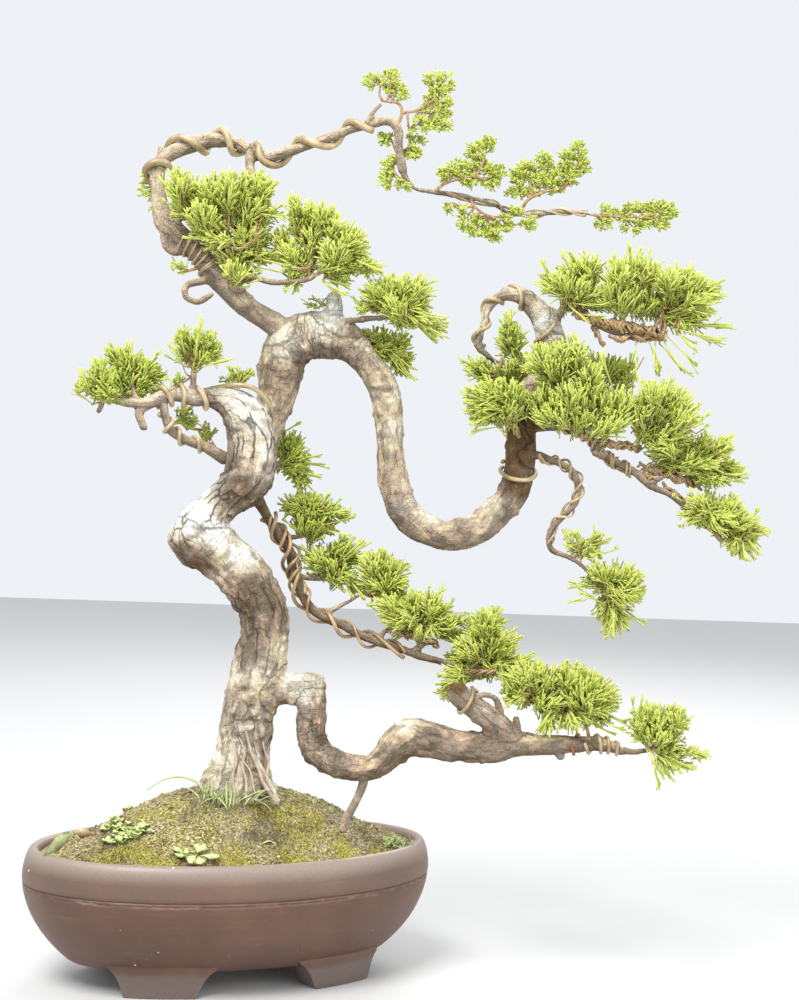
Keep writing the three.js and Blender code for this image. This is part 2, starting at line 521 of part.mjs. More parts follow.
      [513, 390, -24, 536, 372, -32, 12, 10], [512, 392, -26, 532, 412, -34, 12, 9],
      [498, 398, -26, 500, 432, -28, 12, 9],
    ],
  },
  foliage_pad_2: {
    stems: [
      [[558, 397, -14], [560, 386, -20], [564, 382, -21]],
      [[560, 386, -20], [580, 388, -28], [600, 388, -28]],
    ],
    tufts: [
      [561, 384, -20, 540, 352, -20, 13, 10], [560, 388, -21, 545, 416, -26, 13, 10],
      [566, 384, -24, 562, 372, -56, 17, 10], [596, 388, -28, 590, 358, -24, 13, 10],
      [601, 389, -28, 632, 364, -24, 10, 10], [596, 390, -28, 586, 420, -32, 14, 10],
      [599, 389, -30, 602, 380, -60, 17, 10],
      [558, 388, -20, 532, 392, -34, 12, 10], [556, 384, -22, 528, 362, -30, 13, 10],
      [560, 382, -22, 552, 338, -24, 12, 10], [562, 390, -24, 566, 426, -30, 12, 9],
      [600, 388, -28, 618, 414, -32, 12, 10],
    ],
  },
  foliage_pad_3: {
    stems: [[[572, 384, 36], [579, 376, 40]]],
    tufts: [
      [578, 377, 40, 560, 346, 42, 14, 11], [579, 375, 40, 590, 344, 44, 14, 11],
      [579, 377, 42, 584, 364, 72, 18, 10], [580, 377, 40, 612, 366, 36, 12, 10],
    ],
  },
  foliage_right_1: {
    stems: [[[647, 425, -26], [653, 415, -26]]],
    tufts: [
      [653, 415, -26, 662, 374, -26, 13, 10], [654, 416, -26, 690, 392, -24, 13, 10],
      [654, 418, -26, 708, 418, -24, 12, 10], [652, 421, -26, 654, 446, -30, 10, 9],
      [653, 417, -28, 658, 402, -58, 17, 10], [653, 417, -24, 664, 398, 6, 17, 10],
      [652, 416, -26, 636, 382, -28, 12, 10], [652, 418, -26, 620, 412, -28, 11, 9],
      [654, 418, -26, 684, 438, -28, 12, 9],
    ],
  },
  foliage_right_2: {
    stems: [[[679, 467, -15], [689, 459, -15]]],
    tufts: [
      [687, 460, -15, 688, 428, -14, 12, 10], [690, 458, -15, 724, 436, -14, 13, 10],
      [690, 460, -15, 748, 462, -16, 11, 10], [689, 460, -18, 692, 452, -48, 16, 10],
      [689, 460, -12, 700, 448, 18, 15, 10],
      [688, 461, -16, 668, 436, -18, 11, 9], [690, 462, -15, 716, 482, -18, 10, 9],
    ],
  },
  foliage_right_3: {
    stems: [
      [[706, 526, -29], [708, 519, -29], [722, 525, -29]],
      [[708, 519, -29], [688, 516, -34]],
    ],
    tufts: [
      [718, 523, -29, 722, 486, -28, 13, 10], [722, 524, -29, 750, 500, -28, 12, 10],
      [723, 526, -29, 770, 527, -28, 10, 9], [722, 528, -29, 748, 560, -30, 11, 9],
      [719, 525, -31, 724, 518, -58, 15, 9], [720, 524, -27, 728, 516, 0, 15, 9],
      [689, 518, -34, 680, 532, -34, 6, 6],
      [719, 524, -29, 702, 490, -30, 11, 9], [722, 528, -29, 764, 546, -30, 10, 9],
    ],
  },
  foliage_hanging_1: {
    stems: [[[572, 560, -13], [581, 551, -14]]],
    tufts: [
      [579, 552, -14, 566, 530, -14, 8, 8], [581, 551, -14, 592, 528, -14, 9, 8],
      [582, 552, -14, 614, 544, -14, 8, 8],
    ],
  },
  foliage_hanging_2: {
    stems: [[[600, 586, -10], [609, 592, -10]]],
    tufts: [
      [608, 590, -10, 614, 556, -10, 11, 9], [610, 591, -10, 640, 566, -10, 12, 9],
      [611, 592, -10, 648, 592, -10, 11, 9], [611, 594, -10, 640, 618, -10, 11, 9],
      [609, 595, -10, 616, 638, -12, 11, 9], [605, 591, -10, 576, 590, -10, 8, 8],
      [608, 592, -12, 609, 590, -38, 17, 9], [608, 592, -8, 609, 590, 16, 15, 9],
    ],
  },
};

// Draw numbers from 0 to 1, the same on every run
function seededDraw(seed) {
  let state = seed >>> 0;
  return () => {
    state = (Math.imul(state, 1664525) + 1013904223) >>> 0;
    return state / 4294967296;
  };
}

// Put a point of the sheet in space
function place([right, down, away]) {
  const a = (right - SHEET_MIDDLE[0]) * SQUARE;
  const b = (down - SHEET_MIDDLE[1]) * SQUARE;
  const c = Math.cos(SHEET_LEAN);
  const s = Math.sin(SHEET_LEAN);
  const spread = (VIEW_DISTANCE + away) / VIEW_DISTANCE;
  return new THREE.Vector3((a * c + b * s) * spread, away, VIEW_HEIGHT - (b * c - a * s) * spread);
}

// Millimetres of a length in squares at some depth
function span(squares, away) {
  return (squares * SQUARE * (VIEW_DISTANCE + away)) / VIEW_DISTANCE;
}

// A limb's centre line with its radius, sampled about every `spacing` radii
function sampleLimb(points, spacing) {
  const curve = new THREE.CatmullRomCurve3(points.map(place), false, 'centripetal');
  const radii = points.map(([, , away, squares]) => span(squares, away));
  const samples = [];
  const last = points.length - 1;
  for (let i = 0; i < last; i += 1) {
    const length = curve.getPoint(i / last).distanceTo(curve.getPoint((i + 1) / last));
    const steps = Math.max(1, Math.round(length / (spacing * (radii[i] + radii[i + 1]) * 0.5)));
    for (let k = 0; k < steps; k += 1) {
      const f = k / steps;
      const radius = radii[i] * (1 - f) + radii[i + 1] * f;
      samples.push({ at: curve.getPoint((i + f) / last), radius });
    }
  }
  samples.push({ at: curve.getPoint(1), radius: radii[last] });
  return samples;
}

// Directions and a pair of cross axes at each sample, carried along without twist
function framesOf(samples) {
  const frames = [];
  let across = null;
  for (let i = 0; i < samples.length; i += 1) {
    const before = samples[Math.max(0, i - 1)].at;
    const after = samples[Math.min(samples.length - 1, i + 1)].at;
    const along = after.clone().sub(before).normalize();
    if (!across) {
      across = Math.abs(along.y) < 0.9 ? new THREE.Vector3(0, 1, 0) : new THREE.Vector3(1, 0, 0);
    }
    across = across.clone().addScaledVector(along, -across.dot(along)).normalize();
    frames.push({ along, across, over: along.clone().cross(across) });
  }
  return frames;
}

// A closed tube through the samples. `round` rounds its ends, `lump` makes it uneven and
// `point` is how far its ends stand out, in radii.
function sweep(samples, { sides, grow = 0, round = false, lump = 0, point = 0 }) {
  const frames = framesOf(samples);
  const rings = samples.map((sample, i) => ({ ...sample, frame: frames[i] }));
  const first = rings[0];
  const last = rings[rings.length - 1];
  const bulge = round ? 0.32 : point;
  if (round) {
    const shrink = (ring, direction) => ({
      ...ring,
      at: ring.at.clone().addScaledVector(ring.frame.along, direction * (ring.radius + grow) * 0.6),
      radius: (ring.radius + grow) * 0.8 - grow,
    });
    rings.unshift(shrink(first, -1));
    rings.push(shrink(last, 1));
  }
  const positions = [];
  rings.forEach((ring, i) => {
    for (let k = 0; k < sides; k += 1) {
      const angle = (k / sides) * 2 * Math.PI;
      const wave = Math.sin(3 * angle + 1.9 * i) * 0.5 + Math.sin(2 * angle - 1.1 * i) * 0.5;
      const radius = ring.radius * (1 + lump * wave) + grow;
      const point = ring.at.clone()
        .addScaledVector(ring.frame.across, radius * Math.cos(angle))
        .addScaledVector(ring.frame.over, radius * Math.sin(angle));
      positions.push(point.x, point.y, point.z);
    }
  });
  const head = rings[0].at.clone().addScaledVector(rings[0].frame.along, -bulge * rings[0].radius - grow);
  const tailRing = rings[rings.length - 1];
  const tail = tailRing.at.clone().addScaledVector(tailRing.frame.along, bulge * tailRing.radius + grow);
  positions.push(head.x, head.y, head.z, tail.x, tail.y, tail.z);
  const headIndex = rings.length * sides;
  const triangles = [];
  for (let i = 0; i < rings.length - 1; i += 1) {
    for (let k = 0; k < sides; k += 1) {
      const a = i * sides + k;
      const b = i * sides + ((k + 1) % sides);
      triangles.push(a, b, b + sides, a, b + sides, a + sides);
    }
  }
  const top = (rings.length - 1) * sides;
  for (let k = 0; k < sides; k += 1) {
    const next = (k + 1) % sides;
    triangles.push(headIndex, next, k, headIndex + 1, top + k, top + next);
  }
  return solid(positions, triangles);
}

// A solid from shared corners and triangles
function solid(positions, triangles) {
  return new wasm.Manifold(new wasm.Mesh({
    numProp: 3,
    vertProperties: new Float32Array(positions),
    triVerts: new Uint32Array(triangles),
  }));
}

// Join a list of solids, pair by pair
function joinAll(solids) {
  let list = solids;
  while (list.length > 1) {
    const next = [];
    for (let i = 0; i < list.length; i += 2) {
      next.push(i + 1 < list.length ? list[i].add(list[i + 1]) : list[i]);
    }
    list = next;
  }
  return list[0];
}

// The largest separate body of a solid, with small faces merged within `slack` mm
function tidy(body, slack = FINE) {
  const pieces = body.simplify(slack).decompose();
  return pieces.reduce((best, piece) => (piece.volume() > best.volume() ? piece : best));
}

// A named mesh of a solid
function meshOf(name, body, colour, finish) {
  const raw = body.getMesh();
  const geometry = new THREE.BufferGeometry();
  geometry.setAttribute('position', new THREE.BufferAttribute(new Float32Array(raw.vertProperties), 3));
  geometry.setIndex(new THREE.BufferAttribute(new Uint32Array(raw.triVerts), 1));
  const mesh = new THREE.Mesh(geometry, new THREE.MeshStandardMaterial({ color: colour, ...finish }));
  mesh.name = name;
  return mesh;
}

// A point of an oval about the pot's middle, turned as the pot is
function ovalPoint([length, depth], angle) {
  const x = length * Math.cos(angle);
  const y = depth * Math.sin(angle);
  const c = Math.cos(POT_TURN);
  const s = Math.sin(POT_TURN);
  return [POT_CENTRE[0] + x * c - y * s, POT_CENTRE[1] + x * s + y * c];
}

// A closed oval solid through rings, each with its reach and its height at an angle
function ovalLoftOf(rings, sides, bottom, top) {
  const positions = [];
  rings.forEach(({ reach, heightAt }) => {
    for (let k = 0; k < sides; k += 1) {
      const angle = (k / sides) * 2 * Math.PI;
      positions.push(...ovalPoint(reach, angle), heightAt(angle));
    }
  });
  const count = rings.length * sides;
  const last = count - sides;
  positions.push(...POT_CENTRE, bottom, ...POT_CENTRE, top);
  const triangles = [];
  for (let k = 0; k < sides; k += 1) {
    const next = (k + 1) % sides;
    for (let ring = 0; ring < last; ring += sides) {
      const up = ring + sides;
      triangles.push(ring + k, ring + next, up + next, ring + k, up + next, up + k);
    }
    triangles.push(count, next, k, count + 1, last + k, last + next);
  }
  return solid(positions, triangles);
}

// The same through level [inset, height] rings
function ovalLoft(rings, sides) {
  const loops = rings.map(([inset, height]) => ({
    reach: [POT_HALF_LENGTH - inset, POT_HALF_DEPTH - inset],
    heightAt: () => height,
  }));
  return ovalLoftOf(loops, sides, rings[0][1], rings[rings.length - 1][1]);
}

// Outer and inner rings of the bowl, each [inset, height]
const BOWL_OUTSIDE = [
  [41, BOWL_FOOT], [34, 20.5], [23.5, 31], [14, 43], [7.2, 55], [3, 66], [0.7, 76], [0, 83],
  [0.8, 92], [2.6, 99.5], [5, 104.2], [7.6, RIM_TOP], [9.4, RIM_TOP],
];
const BOWL_INSIDE = [
  [RIM_WIDTH, 104], [12.2, 92], [16, 62], [31, FLOOR_TOP + 8], [45, FLOOR_TOP],
];

// One bracket foot, centred at an angle of the oval, narrower at the floor
function footSolid(signX, signY) {
  const along = FOOT_MIDDLES[signX * signY > 0 ? 0 : 1];
  const middle = Math.acos(along / (POT_HALF_LENGTH - FOOT_OUTER_INSET));
  const steps = FOOT_STEPS;
  const positions = [];
  const arc = POT_HALF_LENGTH * 0.72; // mm for each radian of the oval there
  for (const [height, extra] of [[0, 0], [FOOT_TOP / 2, FOOT_FLARE * 0.4], [FOOT_TOP, FOOT_FLARE]]) {
    for (let i = 0; i <= steps; i += 1) {
      const angle = middle + ((FOOT_HALF_WIDTH + extra) / arc) * (1 - (2 * i) / steps);
      for (const inset of [FOOT_OUTER_INSET, FOOT_OUTER_INSET + FOOT_THICKNESS]) {
        const reach = [(POT_HALF_LENGTH - inset) * signX, (POT_HALF_DEPTH - inset) * signY];
        positions.push(...ovalPoint(reach, angle), height);
      }
    }
  }
  const row = (steps + 1) * 2;
  const triangles = [];
  const quad = (a, b, c, d) => {
    const flip = signX * signY < 0;
    triangles.push(...(flip ? [a, c, b, a, d, c] : [a, b, c, a, c, d]));
  };
  for (let level = 0; level < 2; level += 1) {
    const base = level * row;
    for (let i = 0; i < steps; i += 1) {
      const o = base + i * 2;
      quad(o + 2, o, o + row, o + row + 2);
      quad(o + 1, o + 3, o + row + 3, o + row + 1);
    }
    quad(base, base + 1, base + row + 1, base + row);
    const e = base + steps * 2;
    quad(e + 1, e, e + row, e + row + 1);
  }
  for (let i = 0; i < steps; i += 1) {
    const o = i * 2;
    quad(o, o + 2, o + 3, o + 1);
    const t = 2 * row + i * 2;
    quad(t, t + 1, t + 3, t + 2);
  }
  return solid(positions, triangles);
}

// The hole through the pot's floor at one side
function drainSolid(side) {
  const centre = new THREE.Vector3(
    POT_CENTRE[0] + side * DRAIN_X * Math.cos(POT_TURN),
    POT_CENTRE[1] + side * DRAIN_X * Math.sin(POT_TURN),
    BOWL_FOOT - 5,
  );
  const end = centre.clone().setZ(FLOOR_TOP + 5);
  return sweep([{ at: centre, radius: DRAIN_RADIUS }, { at: end, radius: DRAIN_RADIUS }], { sides: 12 });
}

function makePot() {
  const bowl = ovalLoft([...BOWL_OUTSIDE, ...BOWL_INSIDE], OVAL_SIDES);
  const feet = [[1, 1], [1, -1], [-1, 1], [-1, -1]].map(([x, y]) => footSolid(x, y));
  return tidy(joinAll([bowl, ...feet]).subtract(drainSolid(1)).subtract(drainSolid(-1)));
}

// The soil: a bed that fits the bowl, under a mound that rises to the trunk
function makeSoil(hole) {
  const bed = BOWL_INSIDE.slice(1).reverse().map(([inset, height]) => ({
    reach: [POT_HALF_LENGTH - inset - BED_GAP, POT_HALF_DEPTH - inset - BED_GAP],
    heightAt: () => height + CLEAR,
  }));
  const edge = RIM_WIDTH + 0.4 + BED_GAP;
  const mound = MOUND_RINGS.map((out) => ({
    reach: [(POT_HALF_LENGTH - edge) * out, (POT_HALF_DEPTH - edge) * out],
    heightAt: (angle) => SOIL_EDGE + SOIL_RISE * Math.cos((Math.PI / 2) * out) ** SOIL_DOME
      + SOIL_LUMPS * Math.sin(3 * angle + 7 * out) * (1 - out),
  }));
  const bottom = FLOOR_TOP + CLEAR;
  const body = ovalLoftOf([...bed, ...mound], OVAL_SIDES, bottom, SOIL_EDGE + SOIL_RISE);
  return tidy(body.subtract(hole));
}

// Every limb with its number of sides, unevenness and the radii between its rings
const LIMBS = [
  { points: TRUNK_LOW, sides: 10, round: true, lump: 0.05, spacing: 1.5 },
  { points: TRUNK_HIGH, sides: 10, round: true, lump: 0.05, spacing: 1.5 },
  { points: ARCH, sides: 7, round: true, lump: 0.04, spacing: 2.4 },
  { points: TOP_LIMB, sides: 5, round: true, lump: 0.03, spacing: 4 },
  { points: LEFT_LIMB, sides: 5, round: true, lump: 0.04, spacing: 3 },
  { points: LEFT_LOOP, sides: 5, round: true, lump: 0.04, spacing: 3.6 },
  { points: LOW_LIMB_ROOT, sides: 8, round: true, lump: 0.04, spacing: 1.6 },
  { points: LOW_LIMB, sides: 7, round: true, lump: 0.05, spacing: 2.4 },
  { points: CASCADE_LIMB, sides: 5, round: true, lump: 0.03, spacing: 4.5 },
  { points: HANGING_TWIG, sides: 5, round: true, lump: 0.03, spacing: 5 },
  { points: RIGHT_BRANCH, sides: 5, round: true, lump: 0.03, spacing: 5 },
  { points: HIGH_BRANCH, sides: 5, round: true, lump: 0.03, spacing: 5 },
  ...Object.values(SHORT_WOOD).map((points) => (
    { points, sides: points[1][3] > THIN_TWIG ? 6 : 4, round: false, lump: 0.03, spacing: 5 })),
];

function makeWood(grow) {
  return joinAll(LIMBS.map(({ points, spacing, ...shape }) => (
    sweep(sampleLimb(points, spacing), { ...shape, grow }))));
}

// The path of a wire wound round a limb
function wirePath({ limb, from, to, turns, phase, radius, lead = [], steps = WIRE_STEPS }) {
  const curve = new THREE.CatmullRomCurve3(limb.map(place), false, 'centripetal');
  const last = limb.length - 1;
  const count = Math.ceil(turns * steps);
  const slack = 1 / Math.cos(Math.PI / steps); // so that the straight steps clear the bark
  const centres = [];
  for (let i = 0; i <= count; i += 1) {
    const index = from + ((to - from) * i) / count;
    const low = Math.min(last - 1, Math.floor(index));
    const f = index - low;
    const [start, end] = [limb[low], limb[low + 1]].map(([, , away, squares]) => span(squares, away));
    const limbRadius = start * (1 - f) + end * f;
    centres.push({
      at: curve.getPoint(index / last),
      reach: (limbRadius * BARK_ALLOWANCE + radius + CLEAR) * slack,
      direction: curve.getTangent(index / last),
    });
  }
  let across = new THREE.Vector3(0, 0, 1);
  const coil = centres.map(({ at, reach, direction }, i) => {
    across = across.clone().addScaledVector(direction, -across.dot(direction)).normalize();
    const over = direction.clone().cross(across);
    const angle = phase + (i / steps) * 2 * Math.PI;
    return at.clone()
      .addScaledVector(across, reach * Math.cos(angle))
      .addScaledVector(over, reach * Math.sin(angle));
  });
  return [...lead.map(place), ...coil].map((at) => ({ at, radius }));
}

function wireSolid(samples, grow) {
  return sweep(samples, { sides: 4, grow });
}

// Gap between two tapering segments
function segmentGap(a, b) {
  const u = a.to.clone().sub(a.from);
  const v = b.to.clone().sub(b.from);
  const w = a.from.clone().sub(b.from);
  const uu = u.dot(u);
  const uv = u.dot(v);
  const vv = v.dot(v);
  const uw = u.dot(w);
  const vw = v.dot(w);
  const det = uu * vv - uv * uv;
  const clamp = (x) => Math.min(1, Math.max(0, x));
  let s = det > 1e-9 ? clamp((uv * vw - vv * uw) / det) : 0;
  const t = clamp((uv * s + vw) / vv);
  s = clamp((uv * t - uw) / uu);
  const gap = a.from.clone().addScaledVector(u, s).distanceTo(b.from.clone().addScaledVector(v, t));
  const reach = a.start + (a.end - a.start) * s + b.start + (b.end - b.start) * t;
  return gap - reach;
}

// Straight pieces of a swept path, for measuring gaps
function segmentsOf(samples) {
  return samples.slice(1).map((sample, i) => ({
    from: samples[i].at, to: sample.at, start: samples[i].radius, end: sample.radius,
  }));
}

// Point nearest to `target` on some chains of points
function nearestOnChains(chains, target) {
  let best = chains[0][0];
  for (const chain of chains) {
    for (let i = 1; i < chain.length; i += 1) {
      const line = new THREE.Line3(chain[i - 1], chain[i]);
      const candidate = line.closestPointToPoint(target, true, new THREE.Vector3());
      if (candidate.distanceTo(target) < best.distanceTo(target)) best = candidate;
    }
  }
  return best;
}

// A tuft's bud and the frame that its shoots are laid out in
function budOf(chains, tuft) {
  const base = place(tuft.slice(0, 3));
  const tip = place(tuft.slice(3, 6));
  const along = tip.clone().sub(base).normalize();
  let deep = new THREE.Vector3(0, -1, 0).addScaledVector(along, along.y);
  if (deep.length() < 0.3) deep = new THREE.Vector3(0, 0, 1).addScaledVector(along, -along.z);
  deep.normalize();
  const foot = nearestOnChains(chains, base).clone().addScaledVector(along, -BUD_SINK);
  const middle = base.clone().addScaledVector(along, BUD_RISE);
  return {
    foot,
    middle,
    along,
    deep,
    wide: along.clone().cross(deep),
    length: tip.distanceTo(base),
    width: span(tuft[6], tuft[2]),
    depth: tuft[7],
    base,
  };
}

// The bud's corners and faces: a tail in the stem, two rings turned half a step, and a top
function budMesh(bud) {
  const arms = sizeOf(bud) > LARGE_TUFT ? 4 : 3;
  const sideShoots = sizeOf(bud) > SMALL_TUFT;
  const corners = [bud.foot];
  const ring = (offset, radius, shift) => {
    for (let k = 0; k < arms; k += 1) {
      const angle = ((k + shift) / arms) * 2 * Math.PI;
      corners.push(bud.middle.clone().addScaledVector(bud.along, offset)
        .addScaledVector(bud.wide, radius * Math.cos(angle))
        .addScaledVector(bud.deep, radius * Math.sin(angle)));
    }
  };
  ring(-BUD_RADIUS * BUD_HALF_WAIST, BUD_RADIUS, 0);
  ring(BUD_RADIUS * BUD_HALF_WAIST, BUD_RADIUS, 0.5);
  corners.push(bud.middle.clone().addScaledVector(bud.along, BUD_RADIUS * BUD_TOP));
  const faces = [];
  const top = 2 * arms + 1;
  for (let k = 0; k < arms; k += 1) {
    const low = 1 + k;
    const lowNext = 1 + ((k + 1) % arms);
    const high = 1 + arms + k;
    const highNext = 1 + arms + ((k + 1) % arms);
    const turn = (k + 0.5) / arms;
    faces.push({ corners: [0, lowNext, low], shoot: null });
    faces.push({ corners: [low, lowNext, high], shoot: sideShoots ? { tilt: TILTS[2], turn } : null });
    faces.push({ corners: [lowNext, highNext, high], shoot: { tilt: TILTS[1], turn: turn + 0.5 / arms } });
    faces.push({ corners: [high, highNext, top], shoot: { tilt: TILTS[0], turn: turn + 0.5 / arms } });
  }
  return { corners, faces };
}

// Where a shoot of the bud ends, on a dome as wide and deep as the tuft
function shootTip(bud, { tilt, turn }, draw) {
  const lean = tilt * (0.85 + 0.3 * draw());
  const angle = 2 * Math.PI * (turn + 0.06 * (draw() - 0.5));
  const rise = 1 - DOME_RISE + DOME_RISE * Math.cos(lean);
  return bud.base.clone()
    .addScaledVector(bud.along, bud.length * rise * (0.9 + 0.1 * draw()))
    .addScaledVector(bud.wide, bud.width * Math.sin(lean) * Math.cos(angle))
    .addScaledVector(bud.deep, bud.depth * Math.sin(lean) * Math.sin(angle));
}

// The solid of a bud with a three-sided shoot raised from each face that has a free one
function tuftSolid({ corners, faces }, tips) {
  const positions = corners.flatMap((corner) => corner.toArray());
  const triangles = [];
  faces.forEach(({ corners: [a, b, c] }, i) => {
    if (!tips[i]) {
      triangles.push(a, b, c);
      return;
    }
    const tip = positions.length / 3;
    positions.push(...tips[i].toArray());
    triangles.push(a, b, tip, b, c, tip, c, a, tip);
  });
  const body = solid(positions, triangles);
  if (body.volume() > 0) return body;
  return solid(positions, triangles.map((value, i) => triangles[i - (i % 3) + 2 - (i % 3)]));
}

// The size of a tuft's side view
function sizeOf({ length, width, depth }) {
  return length * Math.sqrt(width * depth);
}

// All sprays, cut clear of the wood and wires, with no shoot through another tuft
function makeSprays(cutters, barrier) {
  const draw = seededDraw(SEED);
  const plans = Object.entries(SPRAYS).map(([name, { stems, tufts }]) => {
    const chains = stems.map((stem) => stem.map(place));
    const reachable = [chains[0].slice(1), ...chains.slice(1)];
    const buds = tufts.map((tuft) => budOf(reachable, tuft));
    return { name, chains, buds };
  });
  const stemSamples = ({ chains }) => chains.map((chain) => (
    chain.map((at) => ({ at, radius: CORE_RADIUS }))));
  const stemSegments = plans.map((plan) => stemSamples(plan).flatMap(segmentsOf));
  const budSegments = plans.map(({ buds }) => buds.map(({ foot, middle }) => (
    { from: foot, to: middle, start: CORE_RADIUS, end: BUD_RADIUS })));
  const shoots = plans.map(({ buds }) => buds.map(() => []));
  const isFree = (shoot, planIndex, budIndex) => {
    const outer = { ...shoot, from: shoot.from.clone().lerp(shoot.to, 0.25), start: shoot.start * 0.75 };
    return plans.every((plan, p) => {
      const near = p === planIndex;
      const gap = near ? 0.1 : CLEAR;
      const probe = near ? outer : shoot;
      return stemSegments[p].every((other) => segmentGap(probe, other) > gap)
        && budSegments[p].every((other, b) => (near && b === budIndex) || segmentGap(probe, other) > gap)
        && shoots[p].every((list) => list.every((other) => segmentGap(probe, other) > gap));
    }) && barrier.every((other) => segmentGap(outer, other) > CLEAR);
  };
  return plans.map((plan, planIndex) => {
    const tufts = plan.buds.map((bud, budIndex) => {
      const mesh = budMesh(bud);
      const tips = mesh.faces.map(({ corners, shoot }) => {
        if (!shoot) return null;
        const from = corners.reduce((sum, i) => sum.add(mesh.corners[i]), new THREE.Vector3())
          .divideScalar(3);
        const to = shootTip(bud, shoot, draw);
        const segment = { from, to, start: BUD_RADIUS * SHOOT_WAIST, end: 0.1 };
        if (!isFree(segment, planIndex, budIndex)) return null;
        shoots[planIndex][budIndex].push(segment);
        return segment.to;
      });
      return tuftSolid(mesh, tips);
    });
    const stems = stemSamples(plan).map((samples) => sweep(samples, { sides: 3, point: STEM_POINT }));
    const whole = joinAll([...stems, ...tufts]);
    return [plan.name, tidy(cutters.reduce((body, cutter) => body.subtract(cutter), whole), SPRAY_SLACK)];
  });
}

function makeTree() {
  const group = new THREE.Group();
  const wood = tidy(makeWood(0), COARSE);
  const woodHole = makeWood(CLEAR + COARSE / 2).simplify(FINE);
  const wirePaths = Object.values(WIRES).map(wirePath);
  const wireSolids = wirePaths.map((samples) => tidy(wireSolid(samples, 0).subtract(woodHole)));
  const wireHole = joinAll(wirePaths.map((samples) => wireSolid(samples, CLEAR)));
  group.add(meshOf('pot', makePot(), COLOUR.clay, FINISH.clay));
  group.add(meshOf('soil', makeSoil(woodHole), COLOUR.grit, FINISH.grit));
  group.add(meshOf('wood', wood, COLOUR.bark, FINISH.bark));
  Object.keys(WIRES).forEach((name, i) => {
    group.add(meshOf(name, wireSolids[i], WIRES[name].colour ?? COLOUR.wire, FINISH.wire));
  });
  const barrier = [
    ...LIMBS.flatMap(({ points, spacing }) => segmentsOf(sampleLimb(points, spacing))),
    ...wirePaths.flatMap(segmentsOf),
  ];
  for (const [name, body] of makeSprays([woodHole, wireHole], barrier)) {
    group.add(meshOf(name, body, COLOUR.foliage, FINISH.foliage));
  }
  return group;
}

// Stand the model on its feet with the middle of its box over the origin
const tree = makeTree();
const box = new THREE.Box3().setFromObject(tree);
const middle = box.getCenter(new THREE.Vector3());
tree.position.set(-middle.x, -middle.y, -box.min.z);
tree.updateMatrixWorld(true);

export default tree;
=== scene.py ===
import math

import bmesh
import bpy
import numpy as np
from mathutils import Matrix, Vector
from mathutils.kdtree import KDTree


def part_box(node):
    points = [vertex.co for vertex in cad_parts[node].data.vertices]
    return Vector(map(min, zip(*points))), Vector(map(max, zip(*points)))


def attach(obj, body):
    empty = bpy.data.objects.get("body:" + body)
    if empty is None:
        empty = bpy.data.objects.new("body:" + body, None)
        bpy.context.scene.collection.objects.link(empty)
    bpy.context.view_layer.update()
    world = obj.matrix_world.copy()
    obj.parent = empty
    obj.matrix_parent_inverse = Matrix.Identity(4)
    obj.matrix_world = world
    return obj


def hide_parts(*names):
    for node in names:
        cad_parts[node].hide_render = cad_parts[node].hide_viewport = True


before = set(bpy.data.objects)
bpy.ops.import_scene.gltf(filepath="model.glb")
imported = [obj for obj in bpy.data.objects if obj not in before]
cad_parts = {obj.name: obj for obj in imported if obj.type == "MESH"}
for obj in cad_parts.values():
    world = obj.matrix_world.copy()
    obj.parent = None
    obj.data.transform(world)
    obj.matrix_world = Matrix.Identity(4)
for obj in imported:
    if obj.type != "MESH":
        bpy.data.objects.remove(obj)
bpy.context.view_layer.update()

MM = 0.001
# The front sheet that the tree is drawn on, ruled in squares
SQUARE = 0.8  # mm that one square covers at the trunk
VIEW_DISTANCE = 1200  # mm from the viewer to the trunk
VIEW_HEIGHT = 382  # mm from the feet up to the middle of the sheet
SHEET_MIDDLE = (399.5, 500)
SHEET_LEAN = 0.033  # rad

# Pot, in mm
POT_CENTRE_X = -124.6
POT_TURN = 0.3
POT_HALF_LENGTH = 163
POT_HALF_DEPTH = 93
RIM_TOP = 106
BOWL_FOOT = 17.2
FLOOR_TOP = 28
FOOT_OUTER_INSET = 31
FOOT_THICKNESS = 19
FOOT_MIDDLES = (64, 84)
FOOT_HALF_WIDTH = 27
FOOT_FLARE = 12
FOOT_TOP = 24
DRAIN_RADIUS = 9
DRAIN_X = 52
SOIL_EDGE = 100
SOIL_RISE = 52
GROOVE_HEIGHT = 77.4
GROOVE_TOP = 79.4
RIM_FOOT = 92

# Counts, steps and limits
POT_SIDES = 176
FOOT_STEPS = 20
SOIL_SIDES = 160
SOIL_RINGS = 52
GRIT_COUNT = 2300
THICK_VOXEL = 1.9  # mm
THIN_VOXEL = 1.6  # mm
NEIGHBOURS = 5  # samples of the limbs that shape one point of the bark
SHARP_ANGLE = 0.7  # rad
LOW_DOME = 0.55  # a tube's end with a higher dome than this is rounded
TIP_DOME = 0.15
FULL_TURN = 6.28  # rad
GOLDEN_TURN = 2.39996  # rad, spreads points evenly round a ball

pot_low, pot_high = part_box("pot")
SHIFT_X = (pot_low.x + pot_high.x) / 2 / MM - POT_CENTRE_X  # mm
POT_X = POT_CENTRE_X + SHIFT_X
rng = np.random.default_rng(20261)
scene = bpy.context.scene

